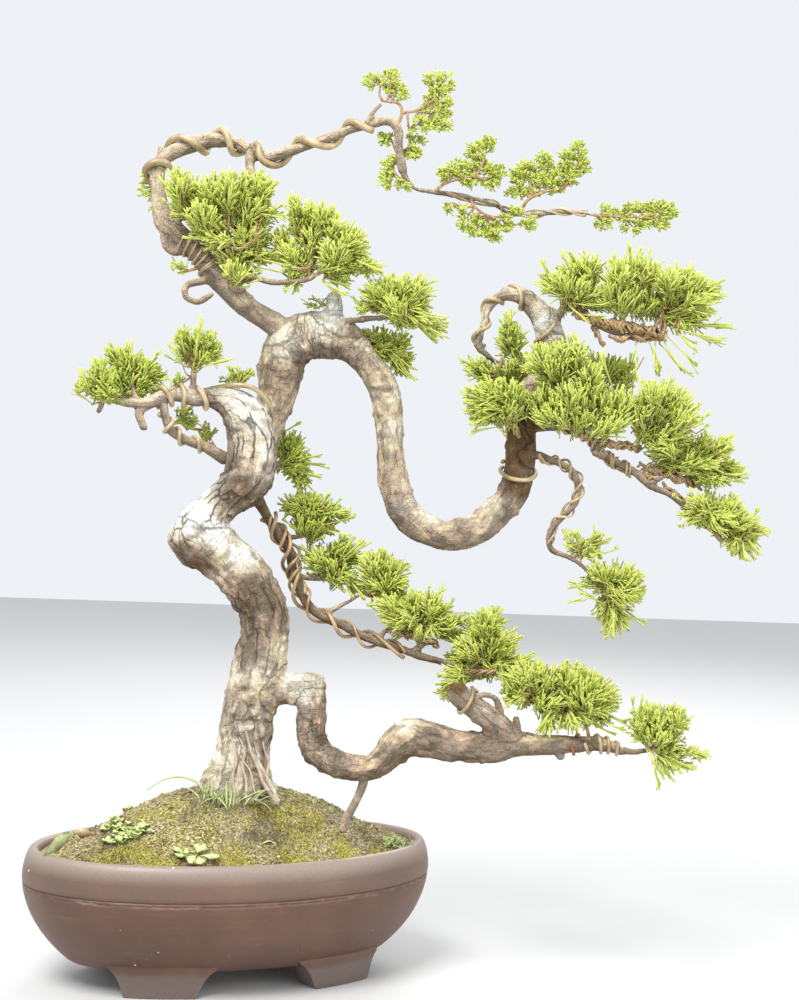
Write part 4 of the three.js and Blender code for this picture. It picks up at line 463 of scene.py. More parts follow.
# Loose shoots that stand out of the brushes: right and down at the foot, then at the tip
STRAYS = {
    "crown_1": [[222, 214, 168, 214], [214, 226, 186, 222], [218, 236, 185, 238], [172, 200, 160, 176]],
    "crown_2": [
        [262, 212, 284, 203], [264, 214, 286, 217], [262, 262, 290, 266], [262, 268, 286, 272],
        [240, 276, 262, 268], [244, 280, 262, 278], [230, 284, 250, 287], [268, 196, 277, 180],
    ],
    "crown_3": [[152, 184, 140, 174], [150, 198, 139, 186]],
    "upper_1": [[292, 230, 290, 194], [296, 278, 284, 292], [298, 276, 297, 292]],
    "upper_2": [
        [336, 236, 342, 214], [322, 282, 346, 296], [326, 276, 350, 287], [320, 280, 338, 292],
        [360, 262, 384, 272], [326, 222, 332, 205],
    ],
    "arch_1": [
        [408, 316, 438, 343], [412, 314, 448, 337], [412, 312, 449, 328], [414, 312, 447, 319],
        [380, 312, 353, 300], [420, 290, 436, 280], [420, 300, 434, 296],
    ],
    "arch_2": [[380, 342, 414, 370], [384, 346, 412, 379]],
    "left_1": [[98, 402, 72, 388], [96, 400, 74, 384], [94, 392, 80, 368], [96, 384, 97, 357]],
    "left_2": [
        [128, 372, 132, 339], [112, 362, 105, 347], [148, 372, 159, 351], [146, 380, 169, 377],
        [144, 384, 165, 385],
    ],
    "left_3": [
        [194, 366, 194, 325], [200, 362, 204, 319], [188, 366, 174, 337], [184, 364, 167, 343],
        [182, 366, 165, 354], [206, 364, 229, 358], [204, 362, 218, 365], [210, 360, 220, 340],
        [172, 392, 171, 378], [192, 368, 214, 332], [184, 350, 179, 325],
    ],
    "left_4": [[230, 386, 231, 364], [224, 386, 222, 377], [238, 384, 254, 369], [236, 384, 238, 366]],
    "left_5": [[206, 396, 207, 388]],
    "cascade_1": [[292, 462, 323, 454], [292, 466, 325, 464], [290, 470, 322, 477], [284, 430, 301, 421]],
    "cascade_2": [
        [306, 520, 279, 498], [306, 524, 286, 508], [322, 520, 352, 509], [324, 524, 356, 517],
        [322, 510, 330, 491], [326, 532, 352, 536], [300, 528, 284, 520],
    ],
    "cascade_3": [
        [318, 566, 301, 544], [342, 560, 362, 540], [344, 562, 367, 541], [340, 556, 353, 536],
        [344, 578, 366, 600], [340, 580, 352, 598], [336, 578, 346, 593], [346, 582, 368, 592],
    ],
    "cascade_4": [[378, 564, 384, 547], [396, 574, 409, 566]],
    "cascade_5": [[440, 604, 442, 585], [376, 612, 367, 603], [456, 620, 467, 612], [424, 596, 430, 584]],
    "cascade_6": [
        [504, 640, 523, 636], [506, 632, 518, 627], [510, 664, 536, 660], [508, 660, 534, 655],
        [448, 684, 436, 683], [450, 688, 437, 694], [454, 668, 437, 677],
    ],
    "low_1": [
        [548, 712, 536, 731], [560, 716, 557, 734], [502, 676, 507, 696], [506, 684, 530, 694],
        [538, 700, 547, 716], [504, 676, 520, 690],
    ],
    "low_2": [[592, 720, 626, 730], [596, 716, 628, 722], [590, 722, 616, 734], [570, 678, 578, 661]],
    "low_3": [
        [636, 720, 632, 695], [640, 716, 643, 693], [648, 752, 660, 788], [650, 750, 664, 776],
        [652, 750, 672, 780], [656, 750, 684, 774], [660, 750, 692, 768], [640, 738, 632, 742],
        [664, 746, 710, 755],
    ],
    "high_1": [
        [562, 288, 539, 262], [564, 292, 534, 283], [566, 296, 540, 290], [568, 278, 563, 252],
        [572, 310, 590, 322], [580, 306, 616, 304], [578, 312, 606, 318],
    ],
    "high_2": [[622, 286, 614, 254], [630, 280, 631, 244], [642, 284, 651, 251], [654, 286, 659, 262]],
    "high_3": [
        [676, 322, 734, 327], [676, 326, 728, 323], [678, 330, 724, 340], [672, 332, 722, 342],
        [668, 338, 699, 366], [662, 340, 688, 374], [650, 342, 661, 372], [652, 342, 657, 376],
        [672, 336, 698, 352], [676, 334, 698, 344], [636, 346, 636, 378], [690, 300, 712, 316],
        [700, 294, 726, 296], [664, 342, 684, 372],
    ],
    "hook": [[508, 340, 511, 308], [484, 378, 461, 358], [486, 382, 463, 366], [490, 380, 478, 356]],
    "pad_1": [
        [496, 400, 464, 386], [494, 404, 462, 394], [492, 410, 463, 410], [494, 416, 468, 424],
        [500, 424, 470, 431], [496, 404, 464, 402],
    ],
    "pad_2": [[576, 366, 577, 334], [566, 366, 570, 332], [552, 372, 533, 342], [614, 400, 600, 350]],
    "pad_3": [
        [618, 392, 612, 362], [624, 396, 624, 360], [628, 394, 634, 362], [632, 396, 638, 356],
        [624, 394, 616, 366], [626, 392, 631, 352],
    ],
    "right_1": [
        [690, 424, 709, 412], [692, 430, 710, 424], [682, 400, 690, 389], [640, 404, 644, 380],
        [690, 416, 702, 403],
    ],
    "right_2": [
        [714, 460, 732, 440], [722, 472, 749, 474], [716, 476, 744, 481], [714, 450, 732, 434],
        [722, 466, 746, 468],
    ],
    "right_3": [
        [694, 512, 676, 515], [696, 516, 680, 528], [690, 500, 672, 494], [756, 532, 771, 530],
        [744, 544, 746, 562], [746, 540, 760, 554], [748, 524, 760, 508],
    ],
    "hanging_1": [[576, 552, 565, 530], [600, 554, 619, 547], [582, 550, 577, 530], [590, 550, 612, 539]],
    "hanging_2": [
        [600, 584, 568, 581], [596, 592, 570, 600], [600, 600, 578, 588], [600, 604, 592, 614],
        [616, 606, 647, 624], [612, 612, 604, 638], [614, 612, 612, 639], [618, 610, 628, 632],
        [630, 580, 646, 574],
    ],
}
# Thin wired twigs that tangle under the sprays: right, down and away at both ends, how many, how loose
TANGLES = [
    [[574, 313, -8], [612, 326, -10], 5, 5], [[600, 322, -12], [662, 334, -16], 9, 6.5],
    [[612, 338, -10], [664, 338, -14], 6, 5], [[592, 326, -4], [604, 346, -6], 3, 4],
    [[566, 424, -22], [602, 446, -22], 6, 4.5], [[596, 442, -22], [640, 448, -22], 6, 4.5],
    [[606, 462, -22], [662, 482, -22], 7, 5], [[594, 452, -22], [620, 462, -22], 4, 4],
    [[640, 466, -18], [700, 486, -20], 7, 5.5], [[664, 486, -22], [690, 508, -24], 5, 4.5],
    [[704, 522, -26], [724, 542, -28], 4, 3.5], [[388, 630, 10], [428, 640, 8], 5, 4],
    [[420, 634, 8], [438, 646, 6], 4, 4], [[308, 574, 36], [340, 580, 34], 5, 4],
    [[600, 586, -14], [612, 598, -16], 6, 3.5], [[466, 672, -20], [500, 672, -22], 4, 3],
    [[540, 698, -24], [580, 700, -26], 4, 3.5], [[188, 352, -14], [196, 378, -12], 5, 4],
    [[232, 246, -18], [214, 246, -22], 4, 4], [[250, 262, -10], [232, 276, -12], 4, 3.5],
    [[508, 414, -26], [520, 438, -24], 6, 4],
]


# Points of the sheet [right, down, away] in space, mm
def place(points):
    p = np.atleast_2d(np.asarray(points, float))
    a = (p[:, 0] - SHEET_MIDDLE[0]) * SQUARE
    b = (p[:, 1] - SHEET_MIDDLE[1]) * SQUARE
    c = math.cos(SHEET_LEAN)
    s = math.sin(SHEET_LEAN)
    k = (VIEW_DISTANCE + p[:, 2]) / VIEW_DISTANCE
    x = (a * c + b * s) * k + SHIFT_X
    return np.stack([x, p[:, 2], VIEW_HEIGHT - (b * c - a * s) * k], 1)


def unit(v):
    return v / np.maximum(np.linalg.norm(v, axis=-1, keepdims=True), 1e-9)


# A smooth line through control points, as the part's centripetal Catmull-Rom curve
def curve_through(points, spacing):
    p = np.asarray(points, float)
    p = np.vstack([2 * p[0] - p[1], p, 2 * p[-1] - p[-2]])
    rows = []
    where = []
    for i in range(1, len(p) - 2):
        p0, p1, p2, p3 = p[i - 1:i + 3]
        d = [max(np.linalg.norm(b - a), 1e-6) ** 0.5 for a, b in ((p0, p1), (p1, p2), (p2, p3))]
        steps = max(1, int(round(np.linalg.norm(p2 - p1) / spacing)))
        t = np.linspace(0, 1, steps, endpoint=False)[:, None]
        m1 = (p1 - p0) / d[0] - (p2 - p0) / (d[0] + d[1]) + (p2 - p1) / d[1]
        m2 = (p2 - p1) / d[1] - (p3 - p1) / (d[1] + d[2]) + (p3 - p2) / d[2]
        m1 *= d[1]
        m2 *= d[1]
        rows.append((2 * t**3 - 3 * t**2 + 1) * p1 + (t**3 - 2 * t**2 + t) * m1
                    + (3 * t**2 - 2 * t**3) * p2 + (t**3 - t**2) * m2)
        where.append(i - 1 + t[:, 0])
    rows.append(p[-2:-1])
    where.append(np.array([len(p) - 3.0]))
    return np.vstack(rows), np.concatenate(where)


# Directions and cross axes along a line, carried without twist
def frames_of(line, start=(0, 1, 0)):
    along = unit(np.gradient(line, axis=0))
    across = np.empty_like(line)
    a = np.array(start, float)
    if abs(along[0] @ a) > 0.9:
        a = np.array([1.0, 0, 0])
    for i, d in enumerate(along):
        a = a - d * (a @ d)
        a /= np.linalg.norm(a)
        across[i] = a
    return along, across, np.cross(along, across)


# The angles of the corners round a ring
def around(sides):
    return np.arange(sides) / sides * 2 * math.pi


# Faces between rings of `sides` points each
def ring_faces(rings, sides):
    i, k = np.meshgrid(np.arange(rings - 1), np.arange(sides), indexing="ij")
    a = (i * sides + k).ravel()
    b = (i * sides + (k + 1) % sides).ravel()
    return np.vstack([np.stack([a, b, b + sides], 1), np.stack([a, b + sides, a + sides], 1)])


# The same, closed by a fan at either end, round the two points that follow the rings
def closed_faces(rings, sides):
    k = np.arange(sides)
    after = (k + 1) % sides
    last = (rings - 1) * sides
    first_fan = np.stack([np.full(sides, rings * sides), after, k], 1)
    last_fan = np.stack([np.full(sides, rings * sides + 1), last + k, last + after], 1)
    return np.vstack([ring_faces(rings, sides), first_fan, last_fan])


# More points past both ends of a line, with radii that round them off
def rounded_ends(line, radii, dome):
    bend = np.linspace(0.3, 1.25, 4)
    first = unit(line[0] - line[1]) * radii[0] * dome
    final = unit(line[-1] - line[-2]) * radii[-1] * dome
    before = line[0] + first * np.sin(bend[::-1])[:, None]
    beyond = line[-1] + final * np.sin(bend)[:, None]
    round_radii = np.concatenate([radii[0] * np.cos(bend[::-1]), radii, radii[-1] * np.cos(bend)])
    return np.vstack([before, line, beyond]), round_radii


# A closed tube with a ring of `sides` corners at each point of the line, in mm
def tube(line, radii, sides, dome=0.5, waves=0.0):
    radii = np.asarray(radii, float)
    if dome > LOW_DOME:
        line, radii = rounded_ends(line, radii, dome)
        dome = TIP_DOME
    along, across, over = frames_of(line)
    turn = around(sides)
    r = radii[:, None] * np.ones(sides)
    if waves:
        i = np.arange(len(line))[:, None]
        r = r * (1 + waves * (np.sin(3 * turn + 0.31 * i) + np.sin(2 * turn - 0.23 * i)))
    rings = (line[:, None] + across[:, None] * (r * np.cos(turn))[..., None]
             + over[:, None] * (r * np.sin(turn))[..., None])
    ends = np.array([line[0] - along[0] * radii[0] * dome, line[-1] + along[-1] * radii[-1] * dome])
    return np.vstack([rings.reshape(-1, 3), ends]), closed_faces(len(line), sides)


# Several [points, faces] as one
def merged(parts):
    points = []
    faces = []
    count = 0
    for p, f in parts:
        points.append(p)
        faces.append(np.asarray(f) + count)
        count += len(p)
    return np.vstack(points), np.vstack(faces)


# A mesh object from points in mm and triangles, with numbers on its corners
def solid_of(name, points, faces, marks=None, smooth=True):
    mesh = bpy.data.meshes.new(name)
    faces = np.ascontiguousarray(faces, np.int32)
    mesh.vertices.add(len(points))
    mesh.vertices.foreach_set("co", (np.asarray(points) * MM).astype(np.float32).ravel())
    mesh.loops.add(faces.size)
    mesh.loops.foreach_set("vertex_index", faces.ravel())
    mesh.polygons.add(len(faces))
    mesh.polygons.foreach_set("loop_start", np.arange(0, faces.size, 3, dtype=np.int32))
    mesh.update(calc_edges=True)
    mesh.validate()
    if smooth:
        mesh.shade_smooth()
    obj = bpy.data.objects.new(name, mesh)
    scene.collection.objects.link(obj)
    for key, values in (marks or {}).items():
        set_mark(obj, key, values)
    return obj


def set_mark(obj, key, values):
    layer = obj.data.attributes.get(key) or obj.data.attributes.new(key, "FLOAT", "POINT")
    layer.data.foreach_set("value", np.asarray(values, np.float32))


def points_of(obj):
    co = np.empty(len(obj.data.vertices) * 3, np.float32)
    obj.data.vertices.foreach_get("co", co)
    return co.reshape(-1, 3).astype(float) / MM


def normals_of(obj):
    no = np.empty(len(obj.data.vertices) * 3, np.float32)
    obj.data.vertex_normals.foreach_get("vector", no)
    return no.reshape(-1, 3).astype(float)


def move_points(obj, points):
    obj.data.vertices.foreach_set("co", (points * MM).astype(np.float32).ravel())
    obj.data.update()


# Smooth noise from -1 to 1 at points
def noise(p, seed=0):
    cell = np.floor(p).astype(np.int64)
    f = p - cell
    f = f * f * (3 - 2 * f)
    total = np.zeros(len(p))
    for corner in range(8):
        step = np.array([corner & 1, corner >> 1 & 1, corner >> 2 & 1])
        weight = np.prod(np.where(step, f, 1 - f), axis=1)
        c = cell + step
        h = (c[:, 0] * 73856093) ^ (c[:, 1] * 19349663) ^ (c[:, 2] * 83492791) ^ (seed * 2654435)
        h = ((h ^ (h >> 13)) * 1274126177) & 0xffffffff
        total += weight * (((h ^ (h >> 16)) & 0xffff) / 32767.5 - 1)
    return total


# Noise in several octaves, each half as strong and twice as fine
def fbm(p, octaves=4, seed=0):
    return sum(noise(p * 2**k, seed + k) / 2**k for k in range(octaves)) / 1.9


# 1 on thin winding lines, 0 elsewhere
def creases(p, width, seed=0):
    return np.clip(1 - np.abs(noise(p, seed)) / width, 0, 1)


# Materials
def material(name):
    mat = bpy.data.materials.new(name)
    mat.use_nodes = True
    return mat, mat.node_tree, mat.node_tree.nodes["Principled BSDF"]


def node(tree, kind, **settings):
    made = tree.nodes.new(kind)
    for key, value in settings.items():
        if key[0].isupper():
            made.inputs[key.replace("_", " ")].default_value = value
        else:
            setattr(made, key, value)
    return made


def rgb(text):
    channel = [int(text[i:i + 2], 16) / 255 for i in (0, 2, 4)]
    return (*[c / 12.92 if c < 0.04045 else ((c + 0.055) / 1.055) ** 2.4 for c in channel], 1)


# A ramp of colours over a number from 0 to 1
def ramp(tree, source, stops):
    made = tree.nodes.new("ShaderNodeValToRGB")
    elements = made.color_ramp.elements
    while len(elements) < len(stops):
        elements.new(0.5)
    for element, (at, colour) in zip(elements, stops):
        element.position = at
        element.color = rgb(colour)
    tree.links.new(source, made.inputs["Fac"])
    return made.outputs["Color"]


# A number stretched so that `low` gives 0 and `high` gives 1
def between(tree, source, low, high):
    made = tree.nodes.new("ShaderNodeMapRange")
    made.inputs["From Min"].default_value = low
    made.inputs["From Max"].default_value = high
    tree.links.new(source, made.inputs["Value"])
    return made.outputs["Result"]


def mix(tree, factor, a, b, kind="MIX"):
    made = tree.nodes.new("ShaderNodeMix")
    made.data_type = "RGBA"
    made.blend_type = kind
    for socket, value in ((made.inputs[0], factor), (made.inputs[6], a), (made.inputs[7], b)):
        if isinstance(value, bpy.types.NodeSocket):
            tree.links.new(value, socket)
        else:
            socket.default_value = rgb(value) if isinstance(value, str) else value
    return made.outputs[2]


def math_node(tree, operation, a, b=0.0):
    made = node(tree, "ShaderNodeMath", operation=operation)
    for socket, value in ((made.inputs[0], a), (made.inputs[1], b)):
        if isinstance(value, bpy.types.NodeSocket):
            tree.links.new(value, socket)
        else:
            socket.default_value = value
    return made.outputs[0]


def times(tree, a, b):
    return math_node(tree, "MULTIPLY", a, b)


# A colour made darker and lighter by a ramp of greys
def shaded(tree, factor, colour, source, stops):
    return mix(tree, factor, colour, ramp(tree, source, stops), "OVERLAY")


def mark(tree, key):
    made = node(tree, "ShaderNodeAttribute", attribute_name=key)
    return made.outputs["Fac"]


def bump(tree, shader, height, strength, distance):
    made = node(tree, "ShaderNodeBump", Strength=strength, Distance=distance)
    tree.links.new(height, made.inputs["Height"])
    tree.links.new(made.outputs["Normal"], shader.inputs["Normal"])


# The piece's own space, stretched if asked
def own_space(tree, stretch=None):
    source = node(tree, "ShaderNodeTexCoord").outputs["Object"]
    if stretch is None:
        return source
    mapping = node(tree, "ShaderNodeMapping", Scale=stretch)
    tree.links.new(source, mapping.inputs["Vector"])
    return mapping.outputs["Vector"]


def texture(tree, kind, space, **settings):
    made = node(tree, "ShaderNodeTex" + kind, **settings)
    tree.links.new(space, made.inputs["Vector"])
    return made


# Noise from 0 to 1 in the piece's own space
def cloud(tree, scale, detail=4, roughness=0.6, stretch=None):
    space = own_space(tree, stretch)
    return texture(tree, "Noise", space, Scale=scale, Detail=detail, Roughness=roughness).outputs["Fac"]


# Clay: smooth mauve brown, olive in places, with fine grain and pale specks, and a painted highlight: a pale
# grey sheen on the band under the rim and on the rim's top
def clay_material():
    mat, tree, shader = material("clay")
    broad = cloud(tree, 14)
    body = ramp(tree, broad, [(0.3, "634838"), (0.5, "735342"), (0.7, "82604e")])
    olive = between(tree, cloud(tree, 7, 2), 0.5, 0.72)
    body = mix(tree, times(tree, olive, 0.6), body, "77663f")
    # Painted highlight: the rim mark turns the band under the rim a little pale grey and the rim's top
    # strongly, as sheen and light on the rim
    body = mix(tree, mark(tree, "rim"), body, "ab998c")
    body = mix(tree, times(tree, mark(tree, "foot"), 0.75), body, "7d7068")
    grain = cloud(tree, 900, 2, 0.7)
    body = shaded(tree, 0.5, body, grain, [(0.3, "6c6c6c"), (0.5, "808080"), (0.7, "969696")])
    streaks = between(tree, cloud(tree, 30, stretch=(1, 1, 9)), 0.58, 0.85)
    body = mix(tree, times(tree, streaks, 0.14), body, "a38c7a")
    specks = texture(tree, "Voronoi", own_space(tree), Scale=150).outputs["Distance"]
    lone = between(tree, cloud(tree, 40, 1), 0.64, 0.68)
    body = mix(tree, times(tree, math_node(tree, "LESS_THAN", specks, 0.14), lone), body, "e0d4c4")
    scuff = between(tree, cloud(tree, 90, 5, stretch=(1, 1, 4)), 0.48, 0.68)
    body = mix(tree, times(tree, times(tree, scuff, 0.6), mark(tree, "groove")), body, "b59c8a")
    tree.links.new(body, shader.inputs["Base Color"])
    rough = math_node(tree, "ADD", between(tree, broad, -0.2, 2.0), 0.14)
    tree.links.new(rough, shader.inputs["Roughness"])
    bump(tree, shader, grain, 0.12, 0.0004)
    return mat


# A texture that follows the limbs, stretched along them and a little bent
def limb_texture(tree, kind, scale, stretch, **settings):
    source = node(tree, "ShaderNodeAttribute", attribute_name="grain").outputs["Vector"]
    mapping = node(tree, "ShaderNodeMapping", Scale=(stretch, 1, 1))
    tree.links.new(source, mapping.inputs["Vector"])
    bent = texture(tree, "Noise", source, Scale=160, Detail=3, Roughness=0.6)
    push = node(tree, "ShaderNodeVectorMath", operation="MULTIPLY_ADD")
    tree.links.new(bent.outputs["Color"], push.inputs[0])
    push.inputs[1].default_value = (0.004, 0.004, 0.004)
    tree.links.new(mapping.outputs["Vector"], push.inputs[2])
    return texture(tree, kind, push.outputs["Vector"], Scale=scale, **settings)


# Dark lines of the bark, from 0 to 1: round plates, round small scales, and painted shade in the valleys of
# folds
def bark_lines(tree):
    plates = limb_texture(tree, "Voronoi", 105, 0.3, feature="DISTANCE_TO_EDGE").outputs["Distance"]
    scales = limb_texture(tree, "Voronoi", 260, 0.5, feature="DISTANCE_TO_EDGE").outputs["Distance"]
    gate = times(tree, between(tree, cloud(tree, 36, 3), 0.42, 0.54), mark(tree, "rough"))
    large = times(tree, between(tree, plates, 0.085, 0.02), gate)
    small = times(tree, between(tree, scales, 0.09, 0.0), gate)
    wave = limb_texture(tree, "Noise", 46, 4.4, Detail=2).outputs["Fac"]
    ridge = math_node(tree, "ABSOLUTE", math_node(tree, "SUBTRACT", wave, 0.5))
    fold = times(tree, between(tree, ridge, 0.045, 0.0), mark(tree, "folded"))
    lines = math_node(tree, "MAXIMUM", large, times(tree, small, 0.2))
    return math_node(tree, "MAXIMUM", lines, times(tree, fold, 0.6))


# Bark: cream and silver where bleached, tan and brown where the bark is brown, in plates with dark cracks,
# by the marks on its corners; the marks add a painted highlight on upward, lit faces and painted shade on
# the faces beneath
def bark_material():
    mat, tree, shader = material("bark")
    flaky = mark(tree, "flaky")
    bleach_and_highlight = mark(tree, "silver_and_highlight")
    cell = between(tree, limb_texture(tree, "Voronoi", 170, 0.5).outputs["Color"], -1.0, 2.0)
    cell = times(tree, math_node(tree, "SUBTRACT", cell, 0.5), flaky)
    coarse = math_node(tree, "ADD", between(tree, cloud(tree, 90, 6, 0.75), -0.25, 1.25), cell)
    fine = cloud(tree, 620, 4, 0.7)
    fibres = limb_texture(tree, "Noise", 800, 0.12, Detail=3).outputs["Fac"]
    aged = ramp(tree, coarse, [(0.28, "ad9f85"), (0.38, "c2b59b"), (0.5, "d9ceb7"), (0.62, "ebe3d1"),
                               (0.76, "f8f3e7")])
    silver_and_highlight = ramp(tree, coarse, [(0.3, "d8d5cc"), (0.45, "efede8"), (0.6, "ffffff")])
    brown_and_shade = ramp(tree, coarse, [(0.3, "664a2a"), (0.5, "926e48"), (0.7, "b8966c")])
    # Silver mark: bleached wood, and a painted highlight on upward faces and lit places
    colour = mix(tree, bleach_and_highlight, aged, silver_and_highlight)
    # Brown mark: brown bark, with painted shade on the faces beneath and in shaded places
    colour = mix(tree, mark(tree, "brown_and_shade"), colour, brown_and_shade)
    colour = shaded(tree, 0.5, colour, fibres, [(0.3, "606060"), (0.5, "808080"), (0.7, "a4a4a4")])
    colour = shaded(tree, 0.5, colour, fine, [(0.3, "5c5c5c"), (0.5, "808080"), (0.7, "aaaaaa")])
    scale = limb_texture(tree, "Voronoi", 240, 0.55).outputs["Color"]
    scaly = times(tree, between(tree, cloud(tree, 30, 3), 0.42, 0.6), flaky)
    tints = [(0.25, "a09c94"), (0.5, "bcbcbc"), (0.75, "d6d6d4")]
    colour = shaded(tree, times(tree, scaly, 0.9), colour, scale, tints)
    # More white on the silver: partly bleach, partly painted highlight
    pale = ramp(tree, coarse, [(0.35, "e4dfd0"), (0.6, "fefcf6")])
    colour = mix(tree, times(tree, bleach_and_highlight, 0.5), colour, pale)
    lines = bark_lines(tree)
    # Dark cracks, darkened more by painted shade in folds and clefts
    dark = times(tree, math_node(tree, "MAXIMUM", lines, mark(tree, "crack")), 0.82)
    tree.links.new(mix(tree, dark, colour, "3a2c1c"), shader.inputs["Base Color"])
    shader.inputs["Roughness"].default_value = 0.8
    shader.inputs["Specular IOR Level"].default_value = 0.3
    height = math_node(tree, "SUBTRACT", math_node(tree, "ADD", fine, fibres), times(tree, lines, 1.6))
    bump(tree, shader, math_node(tree, "ADD", height, times(tree, scale, scaly)), 0.9, 0.0018)
    return mat


# Shoots: grey-green at the base, bright yellow-green at the tip
def shoot_material():
    mat, tree, shader = material("shoots")
    along = mark(tree, "along")
    tone = mark(tree, "tone")
    deep = ramp(tree, tone, [(0.0, "adb65f"), (0.5, "cbd36c"), (1.0, "dbe08e")])
    fresh = ramp(tree, tone, [(0.0, "b8c253"), (0.5, "cbd467"), (1.0, "dde094")])
    colour = mix(tree, between(tree, along, 0.2, 0.95), deep, fresh)
    colour = mix(tree, between(tree, along, 0.1, 0.0), colour, "aea266")
    colour = mix(tree, mark(tree, "dry"), colour, "b39a68")
    scales = cloud(tree, 1400, 2, 0.5)
    colour = shaded(tree, 0.35, colour, scales, [(0.3, "5e6440"), (0.5, "828282"), (0.7, "c4c89a")])
    tree.links.new(colour, shader.inputs["Base Color"])
    shader.inputs["Roughness"].default_value = 0.5
    shader.inputs["Specular IOR Level"].default_value = 0.35
    bump(tree, shader, scales, 0.3, 0.0004)
    return mat


def twig_material():
    mat, tree, shader = material("twigs")
    fine = cloud(tree, 500, 4, 0.7, stretch=(1, 1, 0.4))
    colour = ramp(tree, fine, [(0.3, "7c6040"), (0.5, "a4845c"), (0.65, "bca27a"), (0.8, "cfbc98")])
    tree.links.new(colour, shader.inputs["Base Color"])
    shader.inputs["Roughness"].default_value = 0.75
    bump(tree, shader, fine, 0.5, 0.0008)
    return mat


# Soft wire with a dull oxide coat
def wire_material(name, dark, light):
    mat, tree, shader = material(name)
    tree.links.new(ramp(tree, cloud(tree, 60), [(0.35, dark), (0.65, light)]), shader.inputs["Base Color"])
    fine = cloud(tree, 700, 3)
    rough = math_node(tree, "ADD", between(tree, fine, -0.6, 2.2), 0.12)
    tree.links.new(rough, shader.inputs["Roughness"])
    shader.inputs["Metallic"].default_value = 0.35
    bump(tree, shader, fine, 0.15, 0.0004)
    return mat


# Ground: ochre and brown-green grit, yellow where moss grows
def ground_material():
    mat, tree, shader = material("ground")
    fine = cloud(tree, 520, 4, 0.75)
    colour = ramp(tree, fine, [(0.36, "3c3218"), (0.44, "776a40"), (0.52, "b5a66c"), (0.6, "e4d9aa"),
                               (0.7, "fffae6")])
    worn = times(tree, between(tree, cloud(tree, 16, 4, 0.7), 0.46, 0.6), 0.9)
    colour = mix(tree, worn, colour, ramp(tree, fine, [(0.34, "5c4e38"), (0.5, "a6967a"), (0.66, "e6dcc6")]))
    damp = times(tree, between(tree, cloud(tree, 21, 5, 0.75, stretch=(1, 1.1, 1)), 0.49, 0.62), 0.72)
    colour = mix(tree, damp, colour, "4c4024")
    moss = times(tree, between(tree, cloud(tree, 24, 5, 0.7), 0.53, 0.64), 0.6)
    colour = mix(tree, moss, colour, ramp(tree, fine, [(0.34, "5a5a18"), (0.5, "a39d38"), (0.66, "e0d862")]))
    tree.links.new(colour, shader.inputs["Base Color"])
    shader.inputs["Roughness"].default_value = 0.95
    bump(tree, shader, fine, 1.0, 0.003)
    return mat


# Grit: grains from dark brown to cream by their tone, browner where the bed is dark
def grit_material():
    mat, tree, shader = material("grit")
    tint = cloud(tree, 300, 2)
    colour = ramp(tree, mark(tree, "tone"), [(0.0, "5b4e2c"), (0.3, "8e8050"), (0.55, "b6a872"),
                                             (0.8, "d2c698"), (1.0, "f0e8ce")])
    colour = shaded(tree, 0.4, colour, tint, [(0.35, "606060"), (0.65, "a8a8a8")])
    dark_bed = times(tree, between(tree, cloud(tree, 21, 5, 0.75), 0.49, 0.62), 0.7)
    tree.links.new(mix(tree, dark_bed, colour, "5a4c2c"), shader.inputs["Base Color"])
    shader.inputs["Roughness"].default_value = 0.9
    bump(tree, shader, tint, 0.4, 0.001)
    return mat


def leaf_material(name, dark, light):
    mat, tree, shader = material(name)
    broad = cloud(tree, 160)
    tree.links.new(ramp(tree, broad, [(0.3, dark), (0.7, light)]), shader.inputs["Base Color"])
    shader.inputs["Roughness"].default_value = 0.55
    bump(tree, shader, broad, 0.2, 0.0008)
    return mat


MATERIALS = {
    "clay": clay_material(),
    "bark": bark_material(),
    "shoots": shoot_material(),
    "twigs": twig_material(),
    "wire": wire_material("wire", "9a8562", "d0bd97"),
    "vine": wire_material("vine", "8e7454", "c8ac82"),
    "copper": wire_material("copper", "8a4f33", "c07a54"),
    "ground": ground_material(),
    "grit": grit_material(),
    "root": leaf_material("root", "9c8874", "cdbba6"),
    "leaf": leaf_material("leaf", "bcca7c", "e0e8a6"),
    "blade": leaf_material("blade", "a3ad6e", "d3d6a6"),
    "dry": leaf_material("dry_leaf", "a58c66", "dfcca4"),
    "grass": leaf_material("grass", "a8b674", "d2dca2"),
    "moss": leaf_material("moss", "7f7c22", "cfc44c"),
}


# Give a finished piece its body and its material, and hide the nodes that it stands for
def finish_piece(obj, materials, nodes=()):
    for key in materials:
        obj.data.materials.append(MATERIALS[key])
    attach(obj, "root")
    if nodes:
        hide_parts(*nodes)
    return obj


# Pot
def oval_point(half_length, half_depth, turn):
    x = half_length * np.cos(turn)
    y = half_depth * np.sin(turn)
    c = math.cos(POT_TURN)
    s = math.sin(POT_TURN)
    return POT_CENTRE_X + SHIFT_X + x * c - y * s, x * s + y * c


# An oval ring at an inset from the pot's outline, at one height
def oval_ring(inset, height, turn):
    x, y = oval_point(POT_HALF_LENGTH - inset, POT_HALF_DEPTH - inset, turn)
    return np.stack([x, y, np.full(len(turn), float(height))], 1)


# A closed solid through rings round the pot's middle
def closed_loft(rings):
    ends = [[POT_X, 0, rings[0][:, 2].mean()], [POT_X, 0, rings[-1][:, 2].mean()]]
    return np.vstack(rings + [ends]), closed_faces(len(rings), len(rings[0]))


